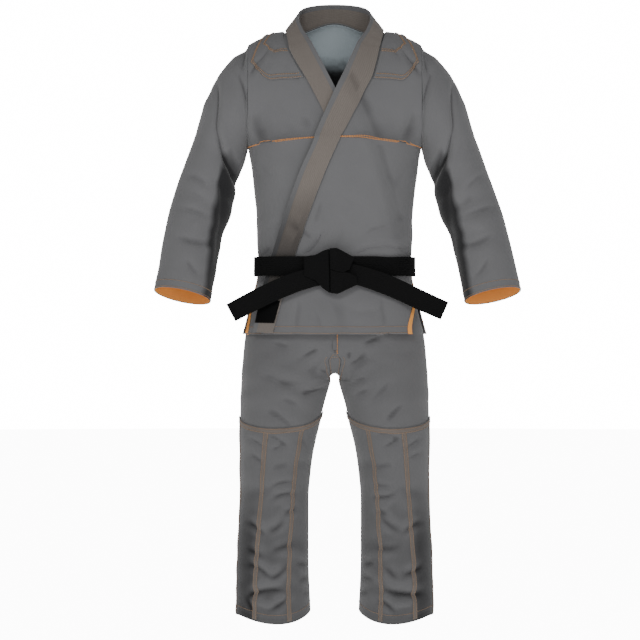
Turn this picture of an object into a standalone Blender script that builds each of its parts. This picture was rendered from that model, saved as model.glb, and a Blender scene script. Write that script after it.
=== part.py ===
"""A judo uniform that keeps its worn, hollow form: jacket, trousers and belt.

Metres, +Z up. The front faces -Y and +X is the wearer's left. The origin lies between the shoulders, at the
height where the collar meets the shoulder seams. Every piece is one sheet of cloth: a grid is laid on a
surface that a short table of sections gives, and Solidify makes it a wall that grows outwards.
"""

import math
from collections import namedtuple

import bmesh
import bpy
from mathutils import Vector

# Cloth thicknesses and clearances
JACKET_WALL = 0.0018
TROUSER_WALL = 0.0015
LAPEL_WALL = 0.0045
FACING_WALL = 0.0010
PATCH_WALL = 0.0014
BELT_WALL = 0.0050
TAIL_WALL = 0.0045
SEAM = 0.0004
LAID_ON = 0.0008
COLLAR_LAID_ON = 0.0014
NECK_LAID_ON = 0.0034
PATCH_LAID_ON = 0.0016

# Heights of the jacket
UNDERARM = -0.269
JACKET_HEM = -0.716
CHEST_SEAM_RISE = 0.016
CHEST_SEAM_REACH = 0.22
BELT_TOP = -0.533
BELT_FOOT = -0.577

# Shoulder line and neck
TIP_X = 0.2055
TIP_HEIGHT = -0.025
SHOULDER_RISE = 0.030
BEYOND_SEAM_SLOPE = 0.34
NECK_HALF = 0.105
BACK_NECK_RISE = 0.031
BACK_NECK_DEPTH = 0.072

# Armhole, an upright loop at the end of the shoulder
ARMHOLE_MIDDLE = (TIP_HEIGHT + UNDERARM) / 2
ARMHOLE_RISE = (TIP_HEIGHT - UNDERARM) / 2
ARMHOLE_DEPTH = 0.082

# Layers of the front, lowest to highest: under front, under lapel, over front, over lapel
OVER_FRONT_LIFT = 0.0092
OVER_FRONT_CLEAR = 0.014
OVER_FRONT_BLEND = 0.056
OVER_LAPEL_LIFT = OVER_FRONT_LIFT + JACKET_WALL + COLLAR_LAID_ON

ROUNDNESS = 2.3
YOKE_FULL_FROM = 0.72
STEP = 1e-4
TINY = 1e-6
RIGHT_ANGLE = math.pi / 2

YokeSection = namedtuple("YokeSection", "share front_depth back_depth")
YOKE = [
    YokeSection(0.00, 0.000, 0.000),
    YokeSection(0.10, 0.034, 0.036),
    YokeSection(0.20, 0.060, 0.064),
    YokeSection(0.30, 0.081, 0.084),
    YokeSection(0.45, 0.104, 0.101),
    YokeSection(0.60, 0.118, 0.111),
    YokeSection(0.80, 0.127, 0.117),
    YokeSection(1.00, 0.128, 0.118),
]

BodySection = namedtuple("BodySection", "height half_width front_depth back_depth")
BODY = [
    BodySection(-0.269, 0.2055, 0.128, 0.118),
    BodySection(-0.326, 0.1965, 0.127, 0.114),
    BodySection(-0.384, 0.1900, 0.123, 0.108),
    BodySection(-0.442, 0.1850, 0.118, 0.103),
    BodySection(-0.499, 0.1838, 0.113, 0.101),
    BodySection(-0.533, 0.1820, 0.110, 0.100),
    BodySection(-0.577, 0.1825, 0.110, 0.102),
    BodySection(-0.625, 0.1930, 0.116, 0.112),
    BodySection(-0.670, 0.2050, 0.122, 0.120),
    BodySection(-0.716, 0.2180, 0.127, 0.127),
]

LapelEdge = namedtuple("LapelEdge", "height outer_x inner_x")
OVER_LAPEL = [
    LapelEdge(0.020, 0.118, 0.073),
    LapelEdge(-0.005, 0.113, 0.0617),
    LapelEdge(-0.106, 0.0876, 0.0164),
    LapelEdge(-0.134, 0.0732, 0.0036),
    LapelEdge(-0.252, 0.0132, -0.0458),
    LapelEdge(-0.343, -0.0265, -0.0840),
    LapelEdge(-0.528, -0.0900, -0.1400),
    LapelEdge(-0.720, -0.1420, -0.1850),
]
UNDER_LAPEL = [
    LapelEdge(0.020, -0.121, -0.077),
    LapelEdge(-0.005, -0.119, -0.0645),
    LapelEdge(-0.137, -0.0537, 0.0012),
    LapelEdge(-0.192, -0.0264, 0.0280),
    LapelEdge(-0.343, 0.0260, 0.0770),
    LapelEdge(-0.528, 0.0720, 0.1220),
    LapelEdge(-0.720, 0.0950, 0.1450),
]

# The collar where it stands round the neck: its lower edge lies on the shoulder, its upper edge stands free
NeckStation = namedtuple("NeckStation", "side share lower_x upper_x upper_y upper_z")
NECK = [
    NeckStation(-1, 0.17, 0.112, 0.075, -0.040, 0.006),
    NeckStation(-1, 0.09, 0.114, 0.082, -0.022, 0.026),
    NeckStation(-1, 0.01, 0.114, 0.085, 0.000, 0.042),
    NeckStation(1, 0.06, 0.106, 0.081, 0.026, 0.058),
    NeckStation(1, 0.08, 0.082, 0.065, 0.048, 0.071),
    NeckStation(1, 0.08, 0.045, 0.036, 0.062, 0.078),
    NeckStation(1, 0.08, 0.000, 0.000, 0.067, 0.080),
]

SleeveRing = namedtuple("SleeveRing", "outer_x outer_z inner_x inner_z middle_y half_depth")
SLEEVE = [
    SleeveRing(0.2060, -0.025, 0.2097, -0.269, 0.000, 0.082),
    SleeveRing(0.2400, -0.054, 0.2128, -0.286, 0.000, 0.082),
    SleeveRing(0.2770, -0.098, 0.2175, -0.305, -0.001, 0.080),
    SleeveRing(0.3060, -0.158, 0.2250, -0.326, -0.003, 0.078),
    SleeveRing(0.3320, -0.235, 0.2345, -0.350, -0.006, 0.075),
    SleeveRing(0.3550, -0.305, 0.2400, -0.392, -0.012, 0.072),
    SleeveRing(0.3780, -0.372, 0.2500, -0.432, -0.022, 0.069),
    SleeveRing(0.3960, -0.437, 0.2640, -0.472, -0.036, 0.066),
    SleeveRing(0.4080, -0.505, 0.2770, -0.530, -0.053, 0.061),
    SleeveRing(0.4180, -0.565, 0.2870, -0.588, -0.070, 0.057),
    SleeveRing(0.4260, -0.612, 0.2955, -0.638, -0.084, 0.053),
]
SLEEVE_TILT = 0.30
ARMHOLE_BLEND = 0.1
LEFT_SLEEVE_SPREAD = 0.013
SPREAD_FROM = -0.33
SPREAD_TO = -0.61
CUFF_FACING_SHARE = 0.875
CUFF_FACING_END = 0.997
SLEEVE_COLUMNS = 20
SLEEVE_ROWS = 16
SLEEVE_LENGTH = 0.68
METRES_A_DEGREE = 0.0012
SEAM_FADE = 0.12

LegSection = namedtuple("LegSection", "height outer_x front_depth back_depth")
LEG = [
    LegSection(-0.500, 0.1785, 0.105, 0.095),
    LegSection(-0.577, 0.1785, 0.105, 0.096),
    LegSection(-0.625, 0.1885, 0.110, 0.106),
    LegSection(-0.670, 0.2000, 0.114, 0.113),
    LegSection(-0.716, 0.2120, 0.117, 0.119),
    LegSection(-0.796, 0.2200, 0.115, 0.118),
    LegSection(-0.874, 0.2240, 0.109, 0.108),
    LegSection(-0.950, 0.2250, 0.102, 0.098),
    LegSection(-1.046, 0.2240, 0.096, 0.090),
    LegSection(-1.150, 0.2260, 0.090, 0.087),
    LegSection(-1.250, 0.2310, 0.087, 0.084),
    LegSection(-1.390, 0.2340, 0.084, 0.078),
]
InseamPoint = namedtuple("InseamPoint", "height inner_x")
INSEAM = [
    InseamPoint(-0.500, 0.0002),
    InseamPoint(-0.756, 0.0002),
    InseamPoint(-0.777, 0.0160),
    InseamPoint(-0.803, 0.0120),
    InseamPoint(-0.826, 0.0110),
    InseamPoint(-0.845, 0.0155),
    InseamPoint(-0.874, 0.0240),
    InseamPoint(-0.931, 0.0385),
    InseamPoint(-0.989, 0.0525),
    InseamPoint(-1.046, 0.0605),
    InseamPoint(-1.110, 0.0655),
    InseamPoint(-1.250, 0.0655),
    InseamPoint(-1.390, 0.0600),
]
WAIST = -0.5730
RISE_TOP = -0.700
CROTCH = -0.826
LEG_HEM = -1.376
HEM_FRONT_DROP = 0.022
HEM_SIDE_DROP = 0.010
HEM_DROP_SPREAD = 1.15
LEG_INSET = 0.0012
KNEE_SEAM = -0.938
KNEE_SEAM_SIDES = 0.0275
KNEE_SEAM_INSIDE = 0.0125
LEG_ROUNDNESS = 2.2
WAISTBAND_WALL = 0.0028
SHORT_OF_SIDE = 0.9999
GUSSET_ARCH = 0.022
GUSSET_ARCH_FROM = 0.65
GUSSET_TIP = 0.0009
GUSSET_ROWS = [-0.7585, -0.777, -0.803, CROTCH, -0.803, -0.777, -0.7585]
WAISTBAND_TOP = -0.5300
WAISTBAND_FOOT = WAIST + SEAM

BeltLift = namedtuple("BeltLift", "angle lift")
BELT = [
    BeltLift(-180, 0.0038),
    BeltLift(-90, 0.0038),
    BeltLift(-63, 0.0184),
    BeltLift(-32, 0.0182),
    BeltLift(-18, 0.0120),
    BeltLift(48, 0.0130),
    BeltLift(80, 0.0072),
    BeltLift(112, 0.0038),
    BeltLift(180, 0.0038),
]

# Strips of the belt: each station gives its upper and lower edge and its depth in front
StripStation = namedtuple("StripStation", "upper_x upper_z lower_x lower_z y")
TAIL_RIGHT = [
    StripStation(-0.006, -0.545, -0.002, -0.592, -0.1275),
    StripStation(-0.060, -0.561, -0.044, -0.602, -0.1325),
    StripStation(-0.110, -0.576, -0.092, -0.617, -0.1310),
    StripStation(-0.160, -0.597, -0.142, -0.638, -0.1190),
    StripStation(-0.210, -0.621, -0.190, -0.661, -0.1000),
    StripStation(-0.255, -0.645, -0.234, -0.684, -0.0810),
]
TAIL_LEFT = [
    StripStation(0.016, -0.545, 0.012, -0.592, -0.1275),
    StripStation(0.075, -0.560, 0.058, -0.601, -0.1325),
    StripStation(0.120, -0.574, 0.102, -0.616, -0.1240),
    StripStation(0.165, -0.593, 0.147, -0.634, -0.1100),
    StripStation(0.215, -0.616, 0.196, -0.657, -0.0910),
    StripStation(0.268, -0.640, 0.250, -0.680, -0.0720),
]
KNOT_FAN = [
    StripStation(-0.072, -0.534, -0.072, -0.577, -0.1375),
    StripStation(-0.045, -0.530, -0.045, -0.588, -0.1390),
    StripStation(-0.026, -0.520, -0.026, -0.608, -0.1425),
    StripStation(-0.014, -0.516, -0.012, -0.618, -0.1455),
]
KNOT_OVER = [
    StripStation(-0.012, -0.515, -0.010, -0.5612, -0.1487),
    StripStation(0.003, -0.514, 0.006, -0.5672, -0.1512),
    StripStation(0.022, -0.524, 0.018, -0.5692, -0.1462),
    StripStation(0.044, -0.536, 0.032, -0.5612, -0.1392),
]
KNOT_UNDER = [
    StripStation(-0.010, -0.563, -0.010, -0.618, -0.1446),
    StripStation(0.008, -0.569, 0.006, -0.620, -0.1456),
    StripStation(0.030, -0.572, 0.030, -0.608, -0.1416),
    StripStation(0.050, -0.582, 0.052, -0.597, -0.1366),
]

# Largest folds: where each lies, which way it runs, how long and wide it is, and how far it sinks or stands
Fold = namedtuple("Fold", "side across along slant length width depth")
BODY_FOLDS = [
    Fold("front", 0.145, -0.500, 35, 0.085, 0.016, 0.0040),
    Fold("front", -0.065, -0.480, -40, 0.080, 0.015, -0.0040),
    Fold("front", 0.165, -0.330, 62, 0.090, 0.018, -0.0035),
    Fold("front", -0.165, -0.330, -62, 0.090, 0.018, -0.0035),
    Fold("front", 0.060, -0.660, 82, 0.090, 0.026, 0.0035),
    Fold("back", 0.090, -0.480, 30, 0.110, 0.020, -0.0050),
    Fold("back", -0.100, -0.470, -34, 0.120, 0.020, -0.0050),
    Fold("back", 0.000, -0.640, 88, 0.110, 0.030, 0.0050),
    Fold("back", 0.120, -0.640, 84, 0.110, 0.024, -0.0040),
    Fold("back", -0.115, -0.645, 96, 0.110, 0.024, -0.0040),
]
SLEEVE_FOLDS = [
    Fold("ring", 118, 0.36, -30, 0.150, 0.030, -0.0060),
    Fold("ring", 140, 0.52, 12, 0.110, 0.024, -0.0055),
    Fold("ring", 95, 0.62, 20, 0.100, 0.022, -0.0040),
    Fold("ring", 150, 0.74, -14, 0.110, 0.022, -0.0040),
    Fold("ring", 230, 0.45, 15, 0.120, 0.026, -0.0055),
    Fold("ring", 250, 0.66, -18, 0.120, 0.024, -0.0045),
]
LEG_FOLDS = [
    Fold("front", 0.075, -0.850, 24, 0.080, 0.018, -0.0045),
    Fold("front", 0.060, -1.030, 14, 0.090, 0.020, -0.0040),
    Fold("front", 0.180, -1.090, -16, 0.080, 0.020, -0.0040),
    Fold("front", 0.110, -1.210, 12, 0.090, 0.020, -0.0045),
    Fold("front", 0.150, -1.330, -10, 0.100, 0.020, -0.0060),
    Fold("back", 0.110, -0.870, -20, 0.110, 0.020, -0.0050),
    Fold("back", 0.100, -1.060, 8, 0.110, 0.022, -0.0060),
    Fold("back", 0.160, -1.200, -14, 0.100, 0.020, -0.0050),
    Fold("back", 0.130, -1.320, 10, 0.100, 0.020, -0.0060),
]

Finish = namedtuple("Finish", "name red green blue roughness")
JACKET_GREY = Finish("jacket_cloth", 0.155, 0.155, 0.160, 0.9)
TROUSER_GREY = Finish("trouser_cloth", 0.125, 0.125, 0.130, 0.9)
COLLAR_TAUPE = Finish("collar_cloth", 0.170, 0.140, 0.120, 0.85)
ORANGE = Finish("orange_facing", 0.60, 0.21, 0.05, 0.8)
PALE_LINING = Finish("yoke_lining", 0.22, 0.26, 0.28, 0.8)
BLACK = Finish("black_belt", 0.008, 0.008, 0.008, 0.75)


def read_table(table, field, at):
    """The value of one column at a place in the first column, on a smooth curve through the rows."""
    places = [row[0] for row in table]
    values = [getattr(row, field) for row in table]
    if places[0] > places[-1]:
        places = [-place for place in places]
        at = -at
    at = min(max(at, places[0]), places[-1])
    last = len(places) - 2
    span = next((k for k in range(last + 1) if at <= places[k + 1]), last)

    def secant(k):
        return (values[k + 1] - values[k]) / (places[k + 1] - places[k])

    def slope(k):
        if k == 0 or k == last + 1:
            return secant(min(k, last))
        before, after = secant(k - 1), secant(k)
        return 2 * before * after / (before + after) if before * after > 0 else 0.0

    width = places[span + 1] - places[span]
    t = (at - places[span]) / width
    start, end = values[span], values[span + 1]
    start_part = (2 * t**3 - 3 * t**2 + 1) * start + (t**3 - 2 * t**2 + t) * width * slope(span)
    end_part = (3 * t**2 - 2 * t**3) * end + (t**3 - t**2) * width * slope(span + 1)
    return start_part + end_part


def read_stations(table, field, share):
    """The value of one column at a share of the way through a list of stations, on a smooth curve."""
    last = len(table) - 1
    place = min(max(share, 0.0), 1.0) * last
    span = min(int(place), last - 1)
    t = place - span
    values = [getattr(table[min(max(span + k, 0), last)], field) for k in (-1, 0, 1, 2)]
    if span == 0:
        values[0] = 2 * values[1] - values[2]
    if span == last - 1:
        values[3] = 2 * values[2] - values[1]
    a, b, c, d = values
    return b + 0.5 * t * (c - a + t * (2 * a - 5 * b + 4 * c - d + t * (3 * (b - c) + d - a)))


def smooth_step(low, high, value):
    t = min(max((value - low) / (high - low), 0.0), 1.0)
    return t * t * (3 - 2 * t)


def fold_height(folds, side, across, along, metres_across=1.0, metres_along=1.0):
    """How far the folds of one side move a point in or out: soft troughs and ridges that fade at their ends."""
    total = 0.0
    for fold in folds:
        if fold.side != side:
            continue
        step_across = (across - fold.across) * metres_across
        step_along = (along - fold.along) * metres_along
        turn = math.radians(fold.slant)
        lengthwise = step_across * math.cos(turn) + step_along * math.sin(turn)
        crosswise = step_along * math.cos(turn) - step_across * math.sin(turn)
        reach = (2 * lengthwise / fold.length) ** 2 + (crosswise / fold.width) ** 2
        total += fold.depth * math.exp(-reach)
    return total


def moved_out(surface, u, v, lift):
    """A point of a surface, moved outwards by lift along its normal, whose sense the surface gives."""
    point = surface.point(u, v)
    if lift == 0:
        return point
    ahead = surface.point(u + STEP, v) - surface.point(u - STEP, v)
    down = surface.point(u, v + STEP) - surface.point(u, v - STEP)
    normal = ahead.cross(down).normalized() * surface.sense
    return point + normal * lift


Surface = namedtuple("Surface", "point sense")


def shoulder_height(x):
    """Height of the shoulder line, and of the back neckline between the shoulder seams."""
    out = (abs(x) - NECK_HALF) / (TIP_X - NECK_HALF)
    if out >= 0:
        return TIP_HEIGHT + SHOULDER_RISE * (1 - min(out, 1.2) ** 2.2)
    hill = 0.5 * (1 + math.cos(math.pi * x / NECK_HALF))
    return TIP_HEIGHT + SHOULDER_RISE + BACK_NECK_RISE * hill


def bow(share):
    return max(1 - share**ROUNDNESS, 0.0) ** (1 / ROUNDNESS)


def yoke_bow(share, down):
    """How the chest rounds away towards the armhole: flat at the armhole, full below the underarm."""
    soft = 1 - share * share * (3 - 2 * share)
    flat = 0.5 * soft + 0.5 * (1 - share**4) * (1 - 0.25 * share)
    full = smooth_step(YOKE_FULL_FROM, 1.0, down)
    return flat * (1 - full) + bow(share) * full


def torso_point(back):
    """The jacket body. across is the angle from the middle of this side, down is 0 at the shoulder seam,
    1 at the underarm and 2 at the hem."""
    field = "back_depth" if back else "front_depth"
    facing = 1 if back else -1

    def point(across, down):
        sine = math.sin(across)
        share = min(abs(sine), 1.0)
        if down < 1:
            down_share = max(down, 0.0)
            x = TIP_X * sine
            turn = math.pi * down_share
            edge = ARMHOLE_DEPTH * math.sin(turn)
            depth = read_table(YOKE, field, down_share)
            if down < 0:
                depth = down * BEYOND_SEAM_SLOPE
            y = edge + (depth - edge) * yoke_bow(share, down_share)
            z = ARMHOLE_MIDDLE + ARMHOLE_RISE * math.cos(turn)
            z += (shoulder_height(x) - TIP_HEIGHT) * (1 - down_share)
            if back and abs(x) < NECK_HALF:
                neck = BACK_NECK_DEPTH * math.sqrt(1 - (x / NECK_HALF) ** 2)
                y += neck * (1 - depth / YOKE[-1].back_depth)
        else:
            z = UNDERARM + (down - 1) * (JACKET_HEM - UNDERARM)
            x = read_table(BODY, "half_width", z) * sine
            y = read_table(BODY, field, z) * bow(share)
        z += CHEST_SEAM_RISE * (1 - share**2) * math.exp(-(((down - 1) / CHEST_SEAM_REACH) ** 2))
        return Vector((x, facing * y, z))

    return point


def torso_surface(back):
    """The jacket body with its largest folds."""
    bare = torso_point(back)
    smooth = Surface(bare, 1 if back else -1)
    side = "back" if back else "front"

    def point(across, down):
        spot = bare(across, down)
        height = fold_height(BODY_FOLDS, side, spot.x, spot.z)
        return moved_out(smooth, across, down, height) if abs(height) > TINY else spot

    return Surface(point, 1 if back else -1)


FLAT_FRONT = torso_point(back=False)
FRONT = torso_surface(back=False)
BACK = torso_surface(back=True)


def down_at(height):
    """The torso's down value for a height below the underarm."""
    return 1 + (height - UNDERARM) / (JACKET_HEM - UNDERARM)


def angle_at(x_of_height, down):
    """The angle on the front where an edge that is drawn from the front crosses one row."""
    angle = 0.0
    for _ in range(6):
        height = FLAT_FRONT(angle, down).z
        half = TIP_X if down < 1 else read_table(BODY, "half_width", height)
        angle = math.asin(min(max(x_of_height(height) / half, -0.9999), 0.9999))
    return angle


def lapel_x(table, share):
    """The x of a line along a lapel, from its outer edge at share 0 to its inner edge at share 1."""
    def x_of_height(height):
        outer = read_table(table, "outer_x", height)
        return outer + (read_table(table, "inner_x", height) - outer) * share
    return x_of_height


def over_lift(x, height):
    """How far the over front stands out where the under front and its lapel lie below it."""
    beyond = x - read_table(UNDER_LAPEL, "inner_x", height)
    return OVER_FRONT_LIFT * (1 - smooth_step(OVER_FRONT_CLEAR, OVER_FRONT_BLEND, beyond))


def new_object(name, bm, finish):
    mesh = bpy.data.meshes.new(name)
    bm.to_mesh(mesh)
    bm.free()
    mesh.shade_smooth()
    obj = bpy.data.objects.new(name, mesh)
    uniform.objects.link(obj)
    material = bpy.data.materials.new(name + "_finish")
    material.use_nodes = True
    shader = material.node_tree.nodes["Principled BSDF"]
    shader.inputs["Base Color"].default_value = (finish.red, finish.green, finish.blue, 1)
    shader.inputs["Roughness"].default_value = finish.roughness
    mesh.materials.append(material)
    return obj


def sew(name, columns, rows, place, wall, finish, closed=False):
    """One piece of cloth: a grid laid by place(u, v, lift), with its wall growing outwards."""
    bm = bmesh.new()
    bmesh.ops.create_grid(bm, x_segments=columns, y_segments=rows, size=0.5)
    for vert in bm.verts:
        vert.co = place(vert.co.x + 0.5, vert.co.y + 0.5, 0.0)
    if closed:
        bmesh.ops.remove_doubles(bm, verts=bm.verts, dist=TINY)
    bmesh.ops.triangulate(bm, faces=bm.faces, quad_method="FIXED")
    bm.normal_update()
    corner = place(0.0, 0.0, 0.0)
    outward = place(0.0, 0.0, SEAM) - corner
    ahead = place(1 / columns, 0.0, 0.0) - corner
    down = place(0.0, 1 / rows, 0.0) - corner
    if ahead.cross(down).dot(outward) < 0:
        bmesh.ops.reverse_faces(bm, faces=bm.faces)
    obj = new_object(name, bm, finish)
    solid = obj.modifiers.new("Wall", "SOLIDIFY")
    solid.thickness = wall
    solid.offset = 1
    return obj


def between(low, high, share):
    return low + (high - low) * share


def two_parts(share, corner, value):
    """Maps 0 to 1 onto itself in two straight parts that meet where share is corner."""
    if share <= corner:
        return value * share / corner
    return 1 - (1 - value) * (1 - share) / (1 - corner)


# The fronts: how many faces, where they start and end, and how far each vent edge is cut back from the side
FRONT_COLUMNS = 12
UPPER_ROWS = 12
LOWER_ROWS = 11
LOWER_VENT_ROW = 8
CHEST_DOWN = 1.0
SEAM_DOWN = SEAM / (UNDERARM - JACKET_HEM)
SHOULDER_START = 0.0012
SIDE_INSET = 0.0006
SIDE_SEAM_DROP = 0.0034
LAPEL_TUCK = 0.62
FRONT_TAPE_WIDTH = 0.045
VENT_CUT_OVER = math.radians(35)
VENT_CUT_UNDER = math.radians(14)
VENT_DOWN = down_at(BELT_FOOT - 0.0015)


def place_front(down_from, down_to, over):
    """One front panel, from under its lapel to its own side seam or armhole."""
    side = 1 if over else -1
    edge = lapel_x(OVER_LAPEL if over else UNDER_LAPEL, LAPEL_TUCK)
    vent_cut = VENT_CUT_OVER if over else VENT_CUT_UNDER
    vent_share = (VENT_DOWN - down_from) / (down_to - down_from)

    def place(u, v, lift):
        row = two_parts(v, LOWER_VENT_ROW / LOWER_ROWS, vent_share) if down_from > 1 else v
        down = between(down_from, down_to, row)
        start = angle_at(edge, down)
        height = FLAT_FRONT(0, down).z
        end = side * (RIGHT_ANGLE - SIDE_INSET - vent_cut * smooth_step(BELT_FOOT, JACKET_HEM, height))
        angle = between(start, end, two_parts(u, 1 - 1 / FRONT_COLUMNS, 1 - FRONT_TAPE_WIDTH))
        if down_from > 1:
            down += SIDE_SEAM_DROP * max(1 - 3 * v, 0.0) * abs(math.sin(angle)) ** 8
        if over:
            spot = FRONT.point(angle, down)
            lift += over_lift(spot.x, spot.z)
        return moved_out(FRONT, angle, down, lift)

    return place


BACK_COLUMNS = 22
BACK_ROWS = 22
BACK_VENT_ROW = 18
BACK_TAPE_WIDTH = 0.05
LINING_ROWS = (1, 7)
LINING_COLUMNS = (3, 19)


def place_back(u, v, lift):
    """The back panel, from the shoulder seams and neckline to the hem."""
    vent_share = (VENT_DOWN - SHOULDER_START) / (2.0 - SHOULDER_START)
    down = between(SHOULDER_START, 2.0, two_parts(v, BACK_VENT_ROW / BACK_ROWS, vent_share))
    out = two_parts(abs(2 * u - 1), 1 - 2 / BACK_COLUMNS, 1 - BACK_TAPE_WIDTH)
    return moved_out(BACK, math.copysign((RIGHT_ANGLE - SIDE_INSET) * out, u - 0.5), down, lift)


def make_yoke_lining():
    """Lining inside the upper back, on the back panel's own rows and columns."""
    def place(u, v, lift):
        across = between(LINING_COLUMNS[0], LINING_COLUMNS[1], u) / BACK_COLUMNS
        down = between(LINING_ROWS[0], LINING_ROWS[1], v) / BACK_ROWS
        return place_back(across, down, lift - SEAM - FACING_WALL)

    columns = LINING_COLUMNS[1] - LINING_COLUMNS[0]
    sew("yoke_lining", columns, LINING_ROWS[1] - LINING_ROWS[0], place, FACING_WALL, PALE_LINING)


# The share of the collar's length that stands round the neck, and where the lapels start below it
NECK_SHARE = 0.18
LAPEL_START = 0.25
LAPEL_END = 1.995
LAPEL_SPREAD = 0.9
NECK_LIFT_FROM = 0.4
NECK_LIFT_TO = 0.8
COLLAR_SWELL = 0.002
COLLAR_LEAN = 0.35
# The share column of NECK with its sign: below zero on the front, above zero on the back
SIGNED_SHARES = [row._replace(share=row.side * row.share) for row in NECK]


def collar_point(u, v, lift):
    """The collar band. v runs from the under front's hem, round the neck, to the over front's hem."""
    if abs(v - 0.5) < NECK_SHARE / 2:
        return neck_point((v - 0.5) / (NECK_SHARE / 2), u, lift)
    over = v > 0.5
    table = OVER_LAPEL if over else UNDER_LAPEL
    along = (abs(v - 0.5) - NECK_SHARE / 2) / (0.5 - NECK_SHARE / 2)
    down = between(LAPEL_START, LAPEL_END, along**LAPEL_SPREAD)
    angle = angle_at(lapel_x(table, u), down)
    spot = FRONT.point(angle, down)
    near_hem = smooth_step(NECK_LIFT_FROM, NECK_LIFT_TO, down)
    lift += JACKET_WALL + between(NECK_LAID_ON, COLLAR_LAID_ON, near_hem)
    if over:
        lift += over_lift(spot.x, spot.z)
    return moved_out(FRONT, angle, down, lift)


def neck_point(turn, u, lift):
    """The collar round the neck. turn is -1 where the under lapel starts and 1 where the over lapel does."""
    side = 1 if turn > 0 else -1
    station = 1 - abs(turn)
    lower_x = side * read_stations(NECK, "lower_x", station)
    down = read_stations(SIGNED_SHARES, "share", station)
    base = BACK if down > 0 else FRONT
    lower = moved_out(base, math.asin(lower_x / TIP_X), abs(down), JACKET_WALL + NECK_LAID_ON)
    upper = Vector((
        side * read_stations(NECK, "upper_x", station),
        read_stations(NECK, "upper_y", station),
        read_stations(NECK, "upper_z", station),
    ))
    point = lower.lerp(upper, u)
    out = Vector((point.x, point.y * 1.1, 0)).normalized()
    out = (out + Vector((0, 0, COLLAR_LEAN))).normalized()
    return point + out * (lift + COLLAR_SWELL * math.sin(math.pi * u))


def sleeve_point(side):
    """A sleeve's bare surface. across is the angle round it from the top, by the front, and v runs to the cuff."""
    def point(across, v):
        ring = {field: read_stations(SLEEVE, field, v) for field in SleeveRing._fields}
        spread = LEFT_SLEEVE_SPREAD if side > 0 else 0.0
        cosine, sine = math.cos(across), math.sin(across)
        x = between(ring["inner_x"], ring["outer_x"], 0.5 + 0.5 * cosine)
        z = between(ring["inner_z"], ring["outer_z"], 0.5 + 0.5 * cosine)
        if v < ARMHOLE_BLEND:
            low = smooth_step(0.3, 0.9, 0.5 - 0.5 * cosine)
            straight = SLEEVE[0].outer_x + (SLEEVE[0].inner_x - SLEEVE[0].outer_x) * low
            x = between(x, straight, max(1 - v / ARMHOLE_BLEND, 0.0))
        tilt = SLEEVE_TILT * smooth_step(0.1, 0.9, v)
        y = ring["middle_y"] - ring["half_depth"] * sine * math.cos(tilt)
        z += ring["half_depth"] * sine * math.sin(tilt)
        x += spread * smooth_step(SPREAD_FROM, SPREAD_TO, z)
        return Vector((side * x, y, z))

    return point


def sleeve_surface(side):
    bare = sleeve_point(side)
    smooth = Surface(bare, side)

    def point(across, v):
        turn = math.degrees(across) % 360
        height = fold_height(SLEEVE_FOLDS, "ring", turn, v, METRES_A_DEGREE, SLEEVE_LENGTH)
        fade = smooth_step(0.0, SEAM_FADE, v) * smooth_step(1.0, 1 - SEAM_FADE, v)
        return moved_out(smooth, across, v, height * fade) if abs(height) > TINY else bare(across, v)

    return Surface(point, side)


def make_sleeve(side, word):
    surface = sleeve_surface(side)

    def place(u, v, lift):
        across = math.pi + 2 * math.pi * u
        return moved_out(surface, across, v, lift)

    sew("sleeve_" + word, SLEEVE_COLUMNS, SLEEVE_ROWS, place, JACKET_WALL, JACKET_GREY, closed=True)

    def place_facing(u, v, lift):
        across = math.pi + 2 * math.pi * u
        inside = -SEAM * 2 - FACING_WALL
        return moved_out(surface, across, between(CUFF_FACING_SHARE, CUFF_FACING_END, v), lift + inside)

    sew("cuff_facing_" + word, SLEEVE_COLUMNS, 2, place_facing, FACING_WALL, ORANGE, closed=True)


# Shoulder patch: how far down it reaches by the neck and by the armhole, and the x of its corners
PATCH_DEEP = 0.455
PATCH_SHALLOW = 0.31
PATCH_NECK_X = 0.121
PATCH_TIP_X = 0.160
PATCH_CORNER_X = 0.198
PATCH_GAP = -0.08


def make_shoulder_patch(side, word):
    """Reinforcement over the shoulder, from its lower edge in front to the same edge behind."""
    lapel = lapel_x(OVER_LAPEL if side > 0 else UNDER_LAPEL, PATCH_GAP)
    at_neck = side * math.asin(PATCH_NECK_X / TIP_X)

    def place(u, v, lift):
        way = between(-1.0, 1.0, v)
        down = max(abs(way) * between(PATCH_DEEP, PATCH_SHALLOW, smooth_step(0.45, 1.0, u)), 0.001)
        start = at_neck
        if way < 0:
            start = between(at_neck, angle_at(lapel, max(down, 0.02)), smooth_step(0.03, 0.2, down))
        end_x = between(PATCH_TIP_X, PATCH_CORNER_X, min(down / PATCH_SHALLOW, 1.0))
        angle = between(start, side * math.asin(end_x / TIP_X), u)
        return moved_out(BACK if way > 0 else FRONT, angle, down, lift + JACKET_WALL + PATCH_LAID_ON)

    sew("shoulder_patch_" + word, 6, 14, place, PATCH_WALL, JACKET_GREY)


def make_vent_tape(name, panel, columns, first_row, last_row, at_end):
    """Tape along one vent edge, from under the belt to the hem: the panel's own points, moved out."""
    points = panel.data.vertices
    first_column = columns - 1 if at_end else 0

    def place(u, v, lift):
        row = round(between(first_row, last_row, v))
        point = points[row * (columns + 1) + first_column + round(u)]
        return point.co + point.normal * (lift + JACKET_WALL + SEAM)

    sew(name, 1, last_row - first_row, place, FACING_WALL, ORANGE)


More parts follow.
